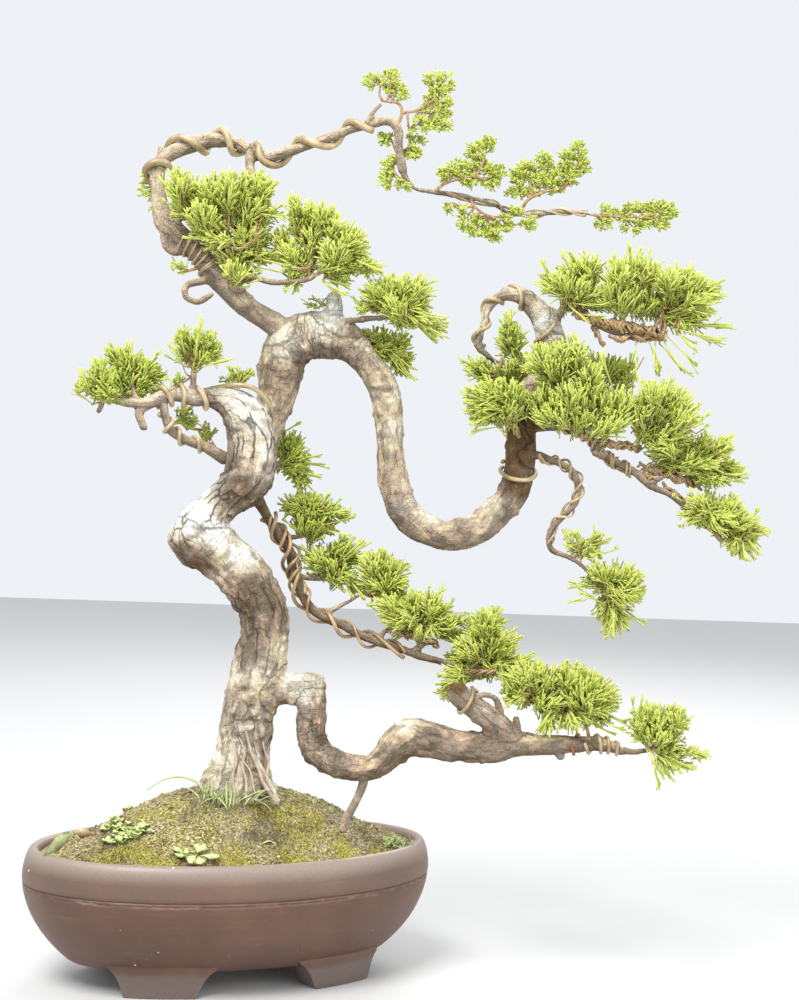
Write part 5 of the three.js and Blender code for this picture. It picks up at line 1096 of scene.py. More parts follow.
# The bowl's section: inset and height, up its outside, over the rim and down its inside
BOWL_PROFILE = [
    [62, BOWL_FOOT], [44, BOWL_FOOT], [40.5, 17.6], [37.5, 18.6], [34, 20.8], [29, 25.4], [23.5, 31],
    [18.4, 37], [14, 43], [10.3, 49], [7.2, 55], [4.9, 60.5], [3, 66], [1.7, 71], [0.9, 75], [0.75, 76.2],
    [1.15, 76.9], [1.0, 77.6], [0.55, 78.2], [0.65, 79.0], [1.3, 79.6], [0.9, 80.3], [0.25, 81], [0, 84],
    [0.2, 88], [0.8, 92], [1.6, 96], [2.6, 99.5], [3.8, 102.4], [5.2, 104.6], [6.8, 105.8], [8.4, RIM_TOP],
    [10, 105.6], [11.2, 104.4], [11.8, 102], [12, 98], [12.2, 92], [16, 62], [31, FLOOR_TOP + 8],
    [45, FLOOR_TOP], [62, FLOOR_TOP],
]
# A foot's levels: height, how much wider than at the floor, how proud of the bowl's outline
FOOT_LEVELS = [
    (0.0, -0.6, -0.8), (0.7, 0.2, -0.1), (4, 1.6, 0), (8, 3.2, 0.1), (12, 5.0, 0.2), (15, 6.8, 0.3),
    (18, 9.0, 0.6), (20.5, FOOT_FLARE, 1.0), (FOOT_TOP, FOOT_FLARE + 3, 0.4),
]


# One bracket foot, narrower at the floor
def foot_mesh(sign_x, sign_y):
    middle = math.acos(FOOT_MIDDLES[0 if sign_x * sign_y > 0 else 1] / (POT_HALF_LENGTH - FOOT_OUTER_INSET))
    arc = POT_HALF_LENGTH * 0.72
    inner = FOOT_OUTER_INSET + FOOT_THICKNESS
    loops = []
    for height, extra, proud in FOOT_LEVELS:
        turn = middle + (FOOT_HALF_WIDTH + extra) / arc * np.linspace(1, -1, FOOT_STEPS)
        halves = []
        for inset, way in ((FOOT_OUTER_INSET - proud, turn), (inner, turn[::-1])):
            x, y = oval_point((POT_HALF_LENGTH - inset) * sign_x, (POT_HALF_DEPTH - inset) * sign_y, way)
            halves.append(np.stack([x, y, np.full(FOOT_STEPS, float(height))], 1))
        loops.append(np.vstack(halves))
    sides = 2 * FOOT_STEPS
    faces = [ring_faces(len(loops), sides)]
    for base, is_top in ((0, False), ((len(loops) - 1) * sides, True)):
        for k in range(FOOT_STEPS - 1):
            front = base + k
            back = base + sides - 1 - k
            pair = np.array([(front, front + 1, back - 1), (front, back - 1, back)])
            faces.append(pair if is_top else pair[:, ::-1])
    faces = np.vstack(faces)
    return np.vstack(loops), faces[:, ::-1] if sign_x * sign_y > 0 else faces


def boolean(target, tool, operation):
    modifier = target.modifiers.new("cut", "BOOLEAN")
    modifier.operation = operation
    modifier.object = tool
    modifier.solver = "EXACT"
    apply_modifiers(target)
    bpy.data.objects.remove(tool)


def apply_modifiers(obj):
    graph = bpy.context.evaluated_depsgraph_get()
    mesh = bpy.data.meshes.new_from_object(obj.evaluated_get(graph))
    obj.modifiers.clear()
    obj.data = mesh


def drain_mesh(side):
    x = POT_X + side * DRAIN_X * math.cos(POT_TURN)
    y = side * DRAIN_X * math.sin(POT_TURN)
    line = np.array([[x, y, BOWL_FOOT - 5], [x, y, FLOOR_TOP + 5]])
    return tube(line, [DRAIN_RADIUS] * 2, 32)


# Keep the pot's edges crisp where its faces meet at more than `limit` rad
def sharpen(obj, limit):
    obj.data.shade_smooth()
    bm = bmesh.new()
    bm.from_mesh(obj.data)
    for edge in bm.edges:
        edge.smooth = edge.calc_face_angle(0) < limit
    bm.to_mesh(obj.data)
    bm.free()


def make_pot():
    turn = around(POT_SIDES)
    rings = [oval_ring(inset, height, turn) for inset, height in BOWL_PROFILE]
    pot = solid_of("pot_body", *closed_loft(rings))
    for sign_x, sign_y in ((1, 1), (1, -1), (-1, 1), (-1, -1)):
        boolean(pot, solid_of("foot", *foot_mesh(sign_x, sign_y)), "UNION")
    for side in (-1, 1):
        boolean(pot, solid_of("drain", *drain_mesh(side)), "DIFFERENCE")
    co = points_of(pot)
    height = co[:, 2]
    uneven = fbm(co / 38, 3, 5) * 0.35 + fbm(co / 9, 2, 8) * 0.07
    move_points(pot, co + normals_of(pot) * (uneven * (height > 2))[:, None])
    # The rim mark is a painted highlight: a faint grey sheen on the band over the groove, rising to a strong
    # pale highlight on the rim's top
    band = np.clip((height - GROOVE_TOP) / 1.2, 0, 1) * 0.16
    set_mark(pot, "rim", band + np.clip((height - RIM_FOOT) / 12, 0, 1) * 0.84)
    set_mark(pot, "groove", np.clip(1 - np.abs(height - GROOVE_HEIGHT) / 1.9, 0, 1))
    set_mark(pot, "foot", np.clip((20 - height) / 5, 0, 1))
    for face in pot.data.polygons:
        face.material_index = 0
    sharpen(pot, SHARP_ANGLE)
    return finish_piece(pot, ["clay"], ["pot"])


# Soil
# The mound's section below its top: inset and height
SOIL_PROFILE = [(45.7, FLOOR_TOP + 0.3), (31.7, FLOOR_TOP + 8.3), (16.8, 62.3), (13, 92.3), (12.4, 97.0)]


# The mound's height at a place, and how far out towards the rim the place is, from 0 to 1
def soil_height(x, y):
    c = math.cos(POT_TURN)
    s = math.sin(POT_TURN)
    dx = x - POT_X
    out = np.hypot((dx * c + y * s) / (POT_HALF_LENGTH - 12), (-dx * s + y * c) / (POT_HALF_DEPTH - 12))
    rise = SOIL_EDGE + SOIL_RISE * np.cos(math.pi / 2 * np.clip(out, 0, 1)) ** 1.3
    flat = np.stack([x, y, np.zeros_like(x)], -1)
    fade = np.clip((1.03 - out) / 0.1, 0.2, 1)
    return rise + (fbm(flat / 26, 3, 3) * 2.6 + fbm(flat / 7, 3, 4)) * fade, out


def make_soil():
    turn = around(SOIL_SIDES)
    rings = [oval_ring(inset, height, turn) for inset, height in SOIL_PROFILE]
    edge = SOIL_PROFILE[-1][0]
    for out in np.linspace(1, 0.02, SOIL_RINGS):
        x, y = oval_point((POT_HALF_LENGTH - edge) * out, (POT_HALF_DEPTH - edge) * out, turn)
        rings.append(np.stack([x, y, soil_height(x, y)[0]], 1))
    return finish_piece(solid_of("soil_mound", *closed_loft(rings)), ["ground"], ["soil"])


# Many small stones on the mound, each an uneven lump of few faces
def make_grit():
    bm = bmesh.new()
    bmesh.ops.create_icosphere(bm, subdivisions=1, radius=1)
    lump = np.array([v.co[:] for v in bm.verts])
    lump_faces = np.array([[v.index for v in f.verts] for f in bm.faces])
    bm.free()
    turn = rng.uniform(0, 2 * math.pi, GRIT_COUNT)
    out = np.sqrt(rng.uniform(0.0, 1, GRIT_COUNT)) * 0.985
    x, y = oval_point((POT_HALF_LENGTH - 13) * out, (POT_HALF_DEPTH - 13) * out, turn)
    size = 0.6 + 0.9 * rng.random(GRIT_COUNT) ** 2.4
    stretch = rng.uniform(0.65, 1.25, (GRIT_COUNT, 1, 3))
    uneven = rng.uniform(0.8, 1.15, (GRIT_COUNT, len(lump), 1))
    middles = np.stack([x, y, soil_height(x, y)[0] + size * 0.25], 1)
    points = lump[None] * stretch * uneven * size[:, None, None] + middles[:, None]
    faces = lump_faces[None] + (np.arange(GRIT_COUNT) * len(lump))[:, None, None]
    tone = np.repeat(np.clip(rng.normal(0.48, 0.22, GRIT_COUNT), 0, 1), len(lump))
    grit = solid_of("grit", points.reshape(-1, 3), faces.reshape(-1, 3), {"tone": tone}, smooth=False)
    return finish_piece(grit, ["grit"])


# A leaf as a thin closed lens that arches from its foot, widest at `belly`, in mm
def leaf_mesh(foot, heading, length, width, arch=0.3, rise=0.6, belly=0.5, twist=0.0, rows=7):
    ahead = np.array([math.cos(heading), math.sin(heading), 0])
    level = np.array([-math.sin(heading), math.cos(heading), 0])
    t = np.linspace(0, 1, rows)
    line = foot + ahead * (t * length * math.cos(rise))[:, None]
    line = line + np.array([0, 0, 1.0]) * (length * (t * math.sin(rise) - arch * t**2))[:, None]
    across = level * math.cos(twist) + np.array([0, 0, 1.0]) * math.sin(twist)
    half = width / 2 * np.sin(np.pi * np.clip(t, 0.04, 0.985) ** (math.log(0.5) / math.log(belly)))
    up = unit(np.cross(np.gradient(line, axis=0), across))
    left = line + across * half[:, None]
    right = line - across * half[:, None]
    crest = line + up * (0.12 * width)
    under = line + up * (0.12 * width - 0.35)
    points = np.stack([left, crest, right, under], 1).reshape(-1, 3)
    faces = []
    for i in range(rows - 1):
        for k in range(4):
            a = i * 4 + k
            b = i * 4 + (k + 1) % 4
            faces += [(a, b + 4, b), (a, a + 4, b + 4)]
    last = (rows - 1) * 4
    faces += [(0, 1, 2), (0, 2, 3), (last, last + 2, last + 1), (last, last + 3, last + 2)]
    return points, np.array(faces)


# The point of the mound that shows at a place of the sheet
def on_soil(right, down):
    away = np.arange(-95, 95, 2.0)
    sight = place(np.stack([np.full(len(away), right), np.full(len(away), down), away], 1))
    height, out = soil_height(sight[:, 0], sight[:, 1])
    hits = np.nonzero((out < 0.99) & (sight[:, 2] <= height))[0]
    first = hits[0] if len(hits) else len(away) // 2
    return np.array([sight[first, 0], sight[first, 1], height[first]])


# A rosette: leaves round one foot
def rosette(right, down, leaves, length, width, rise=0.7, arch=0.5, belly=0.6):
    foot = on_soil(right, down) - [0, 0, 0.5]
    made = []
    for i in range(leaves):
        heading = i / leaves * 2 * math.pi + rng.uniform(-0.4, 0.4)
        grow = rng.uniform(0.75, 1.15)
        bend = arch * rng.uniform(0.7, 1.3)
        climb = rise * rng.uniform(0.7, 1.3)
        twist = rng.uniform(-0.3, 0.3)
        made.append(leaf_mesh(foot, heading, length * grow, width * grow, bend, climb, belly, twist))
    return made


# Several rosettes at random places of a patch of the sheet
def rosettes(count, rights, downs, *shape):
    made = []
    for _ in range(count):
        right = rng.uniform(*rights)
        made += rosette(right, rng.uniform(*downs), *shape)
    return made


# Grass blades from one foot, arching over
def tuft_of_grass(right, down, blades, length, lean=1.1, spread=2.5, headings=(0, 2 * math.pi)):
    foot = on_soil(right, down)
    made = []
    for _ in range(blades):
        start = foot + np.append(rng.normal(0, spread, 2), -1)
        grow = length * rng.uniform(0.5, 1.1)
        heading = rng.uniform(*headings)
        width = rng.uniform(1.4, 2.5)
        arch = rng.uniform(0.2, 0.7)
        climb = lean * rng.uniform(0.6, 1.25)
        made.append(leaf_mesh(start, heading, grow, width, arch, climb, 0.35, rng.uniform(-0.5, 0.5), 9))
    return made


# The leaves of the weed in front: heading, length, rise and tilt
FRONT_WEED = [
    (-0.25, 20, 0.5, 0.3), (3.3, 19, 0.5, -0.3), (-1.2, 14, 0.2, 0.2), (1.6, 15, 0.9, 0.4),
    (4.3, 12, 0.1, -0.5), (0.7, 13, 1.0, 0.2),
]


def leafy_weeds():
    foot = on_soil(197, 861)
    broad = []
    for k, (heading, length, rise, tilt) in enumerate(FRONT_WEED):
        broad.append(leaf_mesh(foot + [0, 0, k * 0.5], heading, length, 10.5, 0.35, rise, 0.72, tilt))
    broad += rosette(184, 857, 5, 12, 8, 0.9, 0.5, 0.68)
    broad += rosettes(30, (103, 150), (824, 846), 4, 8.5, 7, 1.1, 0.4, 0.66)
    return broad + rosettes(6, (113, 131), (800, 808), 4, 8, 4.5, 1.2, 0.35, 0.6)


# One long pale blade that arches over the mound's left side
def long_blade():
    away = on_soil(206, 797)[1]
    route = [[206, 796, away], [198, 783, away - 2], [182, 777, away - 4], [165, 779, away - 6],
             [147, 790, away - 9]]
    blade = curve_through(place(route), 2.0)[0]
    return tube(blade, np.linspace(1.3, 0.5, len(blade)), 6)


def make_weeds():
    broad = leafy_weeds()
    green = tuft_of_grass(222, 803, 40, 30, 1.2, 6.5)
    green += tuft_of_grass(242, 804, 16, 42, 0.8, 5, (-0.7, 0.7))
    green += tuft_of_grass(208, 802, 18, 30, 1.25, 4)
    green += tuft_of_grass(396, 846, 44, 15, 1.0, 6)
    broad += rosettes(9, (384, 402), (843, 848), 4, 9, 6, 1.3, 0.3, 0.6)
    green += tuft_of_grass(66, 842, 20, 11, 1.2, 4)
    green += tuft_of_grass(313, 805, 5, 18, 1.4, 1)
    green += tuft_of_grass(330, 812, 4, 13, 1.3, 1)
    for _ in range(10):
        right = rng.uniform(150, 330)
        green += tuft_of_grass(right, rng.uniform(815, 858), 3, 6, 1.1, 1)
    edge_away = on_soil(70, 852)[1] - 14
    pale = [
        leaf_mesh(place([74, 832, edge_away])[0], math.pi, 27, 13, 0.12, -0.6, 0.5, 1.2),
        long_blade(),
        leaf_mesh(on_soil(214, 797), 2.7, 30, 2.2, 0.6, 0.9, 0.4, 0.4, 12),
        leaf_mesh(on_soil(262, 846), 0.4, 12, 5, 0.6, 0.8, 0.5),
    ]
    dry = [
        leaf_mesh(on_soil(97, 835), 2.9, 23, 9, 0.2, 0.12, 0.5, 1.2),
        leaf_mesh(on_soil(276, 848), 2.5, 10, 4.5, 0.7, 0.9, 0.5),
    ]
    finish_piece(solid_of("weeds", *merged(broad)), ["leaf"])
    finish_piece(solid_of("grass", *merged(green)), ["grass"])
    finish_piece(solid_of("pale_leaves", *merged(pale)), ["blade"])
    finish_piece(solid_of("dry_leaves", *merged(dry)), ["dry"])


# Beds of moss: right, down, half width, half height and number of points
MOSS_BEDS = [
    (345, 856, 16, 6, 300), (234, 862, 20, 6, 330), (300, 864, 34, 4, 260), (120, 856, 40, 7, 300),
    (160, 866, 24, 4, 200), (250, 812, 40, 9, 260), (200, 830, 50, 16, 300), (300, 826, 50, 16, 260),
    (380, 856, 14, 5, 120),
]


# Moss: low cushions of many small points
def make_moss():
    parts = []
    for right, down, wide, high, count in MOSS_BEDS:
        middle = on_soil(right, down)
        spots = middle[:2] + rng.normal(0, 0.45, (count, 2)) * [wide * SQUARE, high * SQUARE * 3]
        heights, out = soil_height(spots[:, 0], spots[:, 1])
        for spot, height in zip(spots[out < 0.985], heights[out < 0.985]):
            foot = np.append(spot, height)
            radius = rng.uniform(0.5, 1.1)
            turn = rng.uniform(0, FULL_TURN) + around(3)
            ring = foot + np.stack([np.cos(turn) * radius, np.sin(turn) * radius, np.full(3, -0.3)], 1)
            tip = foot + np.append(rng.normal(0, 0.4, 2), rng.uniform(0.9, 2.2))
            parts.append((np.vstack([ring, tip]), np.array([(0, 1, 3), (1, 2, 3), (2, 0, 3), (2, 1, 0)])))
    return finish_piece(solid_of("moss", *merged(parts)), ["moss"])


# Wood
# Each limb's points, then its bark: cracks, flakes and lumps in mm, silver and brown from 0 to 1
BARK = {
    "trunk_low": (TRUNK_LOW, (0.9, 1.9, 2.0, 0.45, 0.15)),
    "trunk_high": (TRUNK_HIGH, (1.6, 1.1, 1.6, 0.75, 0.3)),
    "arch": (ARCH, (0.45, 1.2, 1.9, 0.25, 0.2)),
    "top": (TOP_LIMB, (0.5, 0.5, 0.5, 0.2, 0.15)),
    "left": (LEFT_LIMB, (0.5, 0.4, 0.4, 0.3, 0.25)),
    "left_loop": (LEFT_LOOP, (0.3, 0.4, 0.3, 0.0, 0.4)),
    "low_root": (LOW_LIMB_ROOT, (0.45, 1.3, 1.5, 0.25, 0.15)),
    "low": (LOW_LIMB, (0.5, 1.4, 1.4, 0.0, 0.46)),
    "cascade": (CASCADE_LIMB, (0.3, 0.3, 0.3, 0.0, 0.85)),
    "hanging": (HANGING_TWIG, (0.2, 0.3, 0.2, 0.0, 0.4)),
    "right": (RIGHT_BRANCH, (0.2, 0.3, 0.2, 0.0, 0.4)),
    "high": (HIGH_BRANCH, (0.2, 0.3, 0.2, 0.0, 0.4)),
}
THICK_BARK = (0.6, 0.6, 0.6, 0.4, 0.15)
TWIG_BARK = (0.2, 0.25, 0.2, 0.0, 0.3)
for twig, twig_points in SHORT_WOOD.items():
    BARK[twig] = (twig_points, THICK_BARK if twig_points[0][3] > 8 else TWIG_BARK)
ROOTS = ["root_1", "root_2", "root_3", "root_4", "root_5"]
for root in ROOTS:
    BARK[root] = (SHORT_WOOD[root], BARK["trunk_low"][1])
BARK["burl"] = ([[187, 534, -2, 20.5], [197, 549, -2, 22]], (0.9, 0.8, 0.8, 0.9, 0.1))
BARK["crag"] = ([[232, 484, -4, 13], [242, 494, -2, 16], [252, 496, 2, 12]], (1.2, 2.4, 2.6, 0.0, 0.6))
THICK_LIMBS = ["trunk_low", "trunk_high", "arch", "low_root", "low", "knob", "stump", *ROOTS, "burl", "crag"]
# Thin roots that run down the foot of the trunk: right, down, away, radius in squares
ROOT_STRANDS = [
    [
        [239, 736, -22, 1.2], [244, 752, -24.5, 1.7], [243, 768, -27, 1.8],
        [247, 784, -29, 1.8], [246, 800, -33, 2],
    ],
    [
        [246, 730, -22, 1.4], [250, 748, -24.5, 1.9], [258, 766, -26, 2.1],
        [263, 782, -28, 2.3], [272, 797, -31, 2.4],
    ],
    [[234, 744, -22, 1.0], [236, 760, -25, 1.3], [233, 778, -28, 1.4], [235, 796, -31, 1.4]],
    [[262, 742, -17, 1.0], [268, 760, -17, 1.3], [267, 776, -21, 1.4], [271, 788, -25, 1.4]],
    [[240, 756, -25, 0.9], [250, 770, -28, 1.1], [254, 788, -31, 1.2], [258, 800, -33, 1.2]],
]
# Places on the sheet where the bark is painted brown or pale: right, down, half size, amount. Brown places
# are worn brown bark and also painted shade, as under the knee; pale places are bleached bark and also a
# painted highlight on lit tops such as the knee and the arch
BROWN_PLACES = [
    [516, 452, 40, 1.5], [522, 480, 24, 1.3], [528, 420, 26, 1.3], [236, 490, 24, 0.8], [228, 462, 20, 0.6],
    [274, 376, 16, 0.3], [244, 475, 14, 0.5], [252, 632, 14, 0.6], [256, 606, 34, 0.8], [266, 566, 16, 0.3],
    [244, 640, 24, 0.5], [300, 372, 14, 0.4], [350, 372, 16, 0.4], [404, 544, 26, 0.5], [450, 552, 34, 0.5],
    [380, 470, 30, 0.2], [488, 750, 34, 0.6], [430, 760, 34, 0.6], [178, 250, 24, 0.4], [590, 745, 20, 0.5],
    [330, 745, 36, 0.5], [198, 564, 18, 1.1], [182, 552, 12, 0.9], [462, 700, 20, 0.4], [457, 688, 11, 1.3],
]
PALE_PLACES = [
    [194, 518, 28, 1.0], [214, 534, 22, 1.0], [242, 556, 20, 0.8], [258, 424, 18, 0.9], [244, 402, 24, 0.9],
    [266, 452, 10, 0.6], [546, 322, 20, 1.0], [335, 304, 18, 1.8], [325, 322, 24, 0.6], [285, 346, 24, 0.5],
    [440, 524, 22, 0.3], [180, 400, 20, 0.4], [230, 770, 24, 0.3], [300, 684, 24, 0.6], [404, 722, 20, 0.25],
    [392, 430, 20, 0.3],
]
# Where the bark folds round the limb, and where deep clefts lie, both darkened with painted shade in their
# valleys
FOLDED_PLACES = [
    [322, 336, 40, 1.0], [286, 366, 24, 0.7], [350, 350, 24, 0.8], [252, 606, 30, 0.5], [546, 340, 30, 0.6],
    [400, 508, 30, 0.4], [330, 720, 50, 0.7], [210, 545, 30, 0.3],
]
CLEFTS = [
    [310, 362, 9, 1.0], [241, 614, 7, 0.9], [254, 617, 7, 0.8], [232, 500, 9, 0.7], [246, 690, 5, 0.6],
    [524, 446, 6, 0.8], [521, 462, 5, 0.7], [268, 470, 7, 0.7], [237, 430, 5, 0.6],
]


# Where a point lies on the sheet, right and down
def on_sheet(co):
    k = (VIEW_DISTANCE + co[:, 1]) / VIEW_DISTANCE
    x = (co[:, 0] - SHIFT_X) / k
    z = (VIEW_HEIGHT - co[:, 2]) / k
    c = math.cos(SHEET_LEAN)
    s = math.sin(SHEET_LEAN)
    right = (x * c - z * s) / SQUARE + SHEET_MIDDLE[0]
    down = (x * s + z * c) / SQUARE + SHEET_MIDDLE[1]
    return np.stack([right, down], 1)


# How strongly points lie near some places of the sheet
def near_places(co, places):
    spot = on_sheet(co)
    total = np.zeros(len(co))
    for right, down, size, amount in places:
        gap = np.hypot(spot[:, 0] - right, spot[:, 1] - down) / size
        total = np.maximum(total, amount * np.clip(1.6 - 1.3 * gap, 0, 1))
    return total


# A limb's centre line and radius in mm
def limb_line(points, spacing):
    line, where = curve_through(place(points), spacing)
    squares = np.interp(where, np.arange(len(points)), [p[3] for p in points])
    radius = squares * SQUARE * (VIEW_DISTANCE + line[:, 1]) / VIEW_DISTANCE
    return line, radius


def limb_tube(points):
    line, radius = limb_line(points, 2.0)
    return tube(line, radius, 26 if radius.max() > 8 else 14, dome=0.8, waves=0.012)


# Join tubes into one skin of even faces
def skin_of(name, tubes, voxel):
    obj = solid_of(name, *merged(tubes))
    modifier = obj.modifiers.new("skin", "REMESH")
    modifier.mode = "VOXEL"
    modifier.voxel_size = voxel * MM
    modifier = obj.modifiers.new("soften", "SMOOTH")
    modifier.factor = 0.6
    modifier.iterations = 3
    modifier = obj.modifiers.new("thirds", "TRIANGULATE")
    apply_modifiers(obj)
    obj.data.shade_smooth()
    return obj


# Samples along all limbs: centre, radius, frame, distance travelled and bark
def skeleton():
    rows = []
    for points, looks in BARK.values():
        line, radius = limb_line(points, 2.0)
        along, across, over = frames_of(line)
        travelled = np.concatenate([[0], np.cumsum(np.linalg.norm(np.diff(line, axis=0), axis=1))])
        bark = np.tile(looks, (len(line), 1))
        rows.append(np.hstack([line, radius[:, None], along, across, over, travelled[:, None], bark]))
    return np.vstack(rows)


# The nearest sample to each point, and the bark of the nearest few, blended
def nearest_samples(co, rows):
    tree = KDTree(len(rows))
    for i, row in enumerate(rows):
        tree.insert(row[:3], i)
    tree.balance()
    near = np.empty((len(co), NEIGHBOURS), int)
    gap = np.empty((len(co), NEIGHBOURS))
    for i, c in enumerate(co):
        for j, (_, index, distance) in enumerate(tree.find_n(c, NEIGHBOURS)):
            near[i, j] = index
            gap[i, j] = distance - rows[index, 3]
    best = np.take_along_axis(near, gap.argmin(1)[:, None], 1)[:, 0]
    weight = np.exp(-gap / 3) / np.exp(-gap / 3).sum(1, keepdims=True)
    return rows[best], (rows[near][..., 14:] * weight[..., None]).sum(1).T


# Space along and across a limb for a pattern of one length along it and another round it, in mm
def limb_space(s, u, v, long, wide):
    return np.stack([s / long, u / wide, v / wide], 1)


# Cracks along the limb, finer ones and plates, from 0 to 1
def crack_pattern(co, s, u, v, flake_mm):
    bent = np.stack([noise(co / 9, 61), noise(co / 9, 62), noise(co / 9, 63)], 1)
    wander = limb_space(s, u, v, 34, 10) + 0.25 * bent
    lengthwise = creases(wander * [1, 1.5, 1.5], 0.16, 11)
    hair = creases(wander * [1.6, 3.2, 3.2], 0.2, 12) * 0.5
    plates = creases(co / 7 + 0.4 * np.stack([noise(co / 4, 64)] * 3, 1), 0.12, 13) * 0.6
    crack = np.maximum(np.maximum(lengthwise, hair), plates * np.clip(flake_mm, 0, 1))
    return crack * np.clip(fbm(co / 24, 2, 15) * 1.2 + 0.6, 0, 1)


# Bark in the shape: lumps, flakes, cracks, folds, clefts and knobs, with marks for the material
def carve(obj, rows):
    co = points_of(obj)
    normal = normals_of(obj)
    row, (crack_mm, flake_mm, lump_mm, silver_and_highlight, brown_and_shade) = nearest_samples(co, rows)
    offset = co - row[:, :3]
    s = row[:, 13] + (offset * row[:, 4:7]).sum(1)
    u = (offset * row[:, 7:10]).sum(1)
    v = (offset * row[:, 10:13]).sum(1)
    crack = crack_pattern(co, s, u, v, flake_mm)
    flakes = fbm(co / 6.5, 3, 21)
    ledges = np.floor(flakes * 3.2) / 3.2 + 0.35 * flakes
    lumps = fbm(limb_space(s, u, v, 24, 20), 2, 31)
    fibres = noise(limb_space(s, u, v, 16, 1.9), 41)
    folded = near_places(co, FOLDED_PLACES)
    folds = creases(np.stack([s / 8 + 0.8 * noise(co / 11, 65), u / 30, v / 30], 1), 0.4, 14) * folded
    cleft = near_places(co, CLEFTS) * np.clip(0.6 + noise(co / 3, 66), 0, 1) * (offset[:, 1] < 4)
    knobs = np.clip(noise(co / 7.5, 67) - 0.45, 0, 1) * 4.5 * np.clip(flake_mm, 0, 1)
    moved = (lumps * lump_mm + ledges * flake_mm * 0.75 - crack * crack_mm - folds * 1.3 - cleft * 1.8
             + knobs + fibres * np.clip(crack_mm, 0.1, 1) * 0.22)
    moved = np.clip(moved, -0.3 * row[:, 3], 0.3 * row[:, 3])
    move_points(obj, co + normal * moved[:, None])
    up = normals_of(obj)[:, 2]
    side = fbm(co / 15, 3, 51)
    # Pale places are partly bleached wood and partly a painted highlight on lit tops, stronger on upward
    # faces
    pale = near_places(co, PALE_PLACES) * np.clip(0.8 + 0.5 * up + 0.5 * side, 0, 1)
    # Brown places: worn brown bark, and painted shade where the limb lies in shade
    stain_and_shade = near_places(co, BROWN_PLACES) * np.clip(0.85 + 0.6 * side, 0, 1)
    lines = np.clip(crack * np.clip(crack_mm * 1.1, 0.1, 1) - 0.2, 0, 1)
    # Silver grows on upward faces: a painted highlight where light falls, over the limb's real bleaching
    silver_and_highlight = np.maximum(silver_and_highlight * (0.45 + 0.7 * up + 0.55 * side), pale) - 0.8 * stain_and_shade
    # Brown grows on downward faces: painted shade beneath, over the limb's real brown bark
    brown_and_shade = np.maximum(brown_and_shade + 0.34 * side - 0.5 * up - 0.12, stain_and_shade) - 0.6 * pale
    # The crack mark: dark cracks, with painted shade in fold valleys and deep clefts
    set_mark(obj, "crack", np.maximum(np.maximum(lines, folds * 0.45), cleft))
    set_mark(obj, "silver_and_highlight", np.clip(silver_and_highlight, 0, 1))
    set_mark(obj, "brown_and_shade", np.clip(brown_and_shade, 0, 1))
    set_mark(obj, "rough", np.clip(0.1 + 0.65 * crack_mm, 0, 1))
    set_mark(obj, "folded", np.clip(0.22 + folded, 0, 1))
    set_mark(obj, "flaky", np.clip(flake_mm * 0.8 - 0.15, 0, 1))
    grain = obj.data.attributes.new("grain", "FLOAT_VECTOR", "POINT")
    grain.data.foreach_set("vector", (np.stack([s, u, v], 1) * MM).astype(np.float32).ravel())


def make_wood():
    rows = skeleton()
    thick = [limb_tube(BARK[name][0]) for name in THICK_LIMBS]
    thin = [limb_tube(points) for name, (points, _) in BARK.items() if name not in THICK_LIMBS]
    for piece in (skin_of("wood_trunk", thick, THICK_VOXEL), skin_of("wood_limbs", thin, THIN_VOXEL)):
        carve(piece, rows)
        finish_piece(piece, ["bark"], ["wood"])


def make_root_strands():
    parts = []
    for strand in ROOT_STRANDS:
        line, radius = limb_line(strand, 2.0)
        line = line + np.stack([noise(line / 9, 72), noise(line / 9, 73) + 0.4, 0 * radius], 1) * 0.9
        parts.append(tube(line, radius * (0.82 + 0.14 * noise(line / 5, 71)), 8))
    return finish_piece(solid_of("root_strands", *merged(parts)), ["root"])


# Wires
# The line of a wire wound on its limb, after its lead if it has one
def wire_line(limb, start, end, turns, phase, radius, lead=(), loose=0, tilt=0):
    points = place(limb)
    line, where = curve_through(points, 1.0)
    count = int(max(turns, 1.5) * 22)
    index = np.linspace(start, end, count)
    at = np.stack([np.interp(index, where, line[:, i]) for i in range(3)], 1)
    squares = np.interp(index, np.arange(len(limb)), [p[3] for p in limb])
    limb_radius = squares * SQUARE * (VIEW_DISTANCE + at[:, 1]) / VIEW_DISTANCE
    for _ in range(3):
        at[1:-1] = (at[:-2] + at[1:-1] * 2 + at[2:]) / 4
    _, across, over = frames_of(at, (0, 0, 1))
    turn = phase + np.linspace(0, turns * 2 * math.pi, count)
    turn = turn + 0.5 * np.sin(turn * 0.41 + 2 * phase)
    reach = limb_radius + radius * 0.75 + loose * (1 + np.sin(turn * 0.83 + 2 * phase))
    coil = at + across * (reach * np.cos(turn))[:, None] + over * (reach * np.sin(turn))[:, None]
    coil[:, 2] += (coil[:, 1] - at[:, 1]) * tilt
    if len(lead):
        start_line = curve_through(np.vstack([place(lead), coil[:1]]), 2.0)[0]
        coil = np.vstack([start_line[:-1], coil])
    return coil


# How many strands lie side by side in a wire's coil, and their turns against the wire's own
STRANDS = {
    "wire_cascade_a": (2, 0.5), "wire_cascade_b": (2, 0.55), "wire_hanging": (2, 0.7),
    "wire_right": (2, 0.9), "wire_left": (1, 1.0), "wire_top": (1, 0.8), "wire_crown": (2, 1.0),
    "wire_tip": (2, 0.8),
}
STRAND_WIDTHS = (0.78, 0.62)
# How far a wire stands off its limb here and there, in mm
LOOSE = {
    "wire_cascade_a": 1.3, "wire_cascade_b": 1.3, "wire_hanging": 0.6, "wire_right": 0.8, "wire_left": 0.6,
    "wire_top": 0.5, "wire_ring": 0.6,
}
# How much a wire's loop rises to the back
TILTED = {"wire_ring": 0.42, "wire_stump": 0.3}


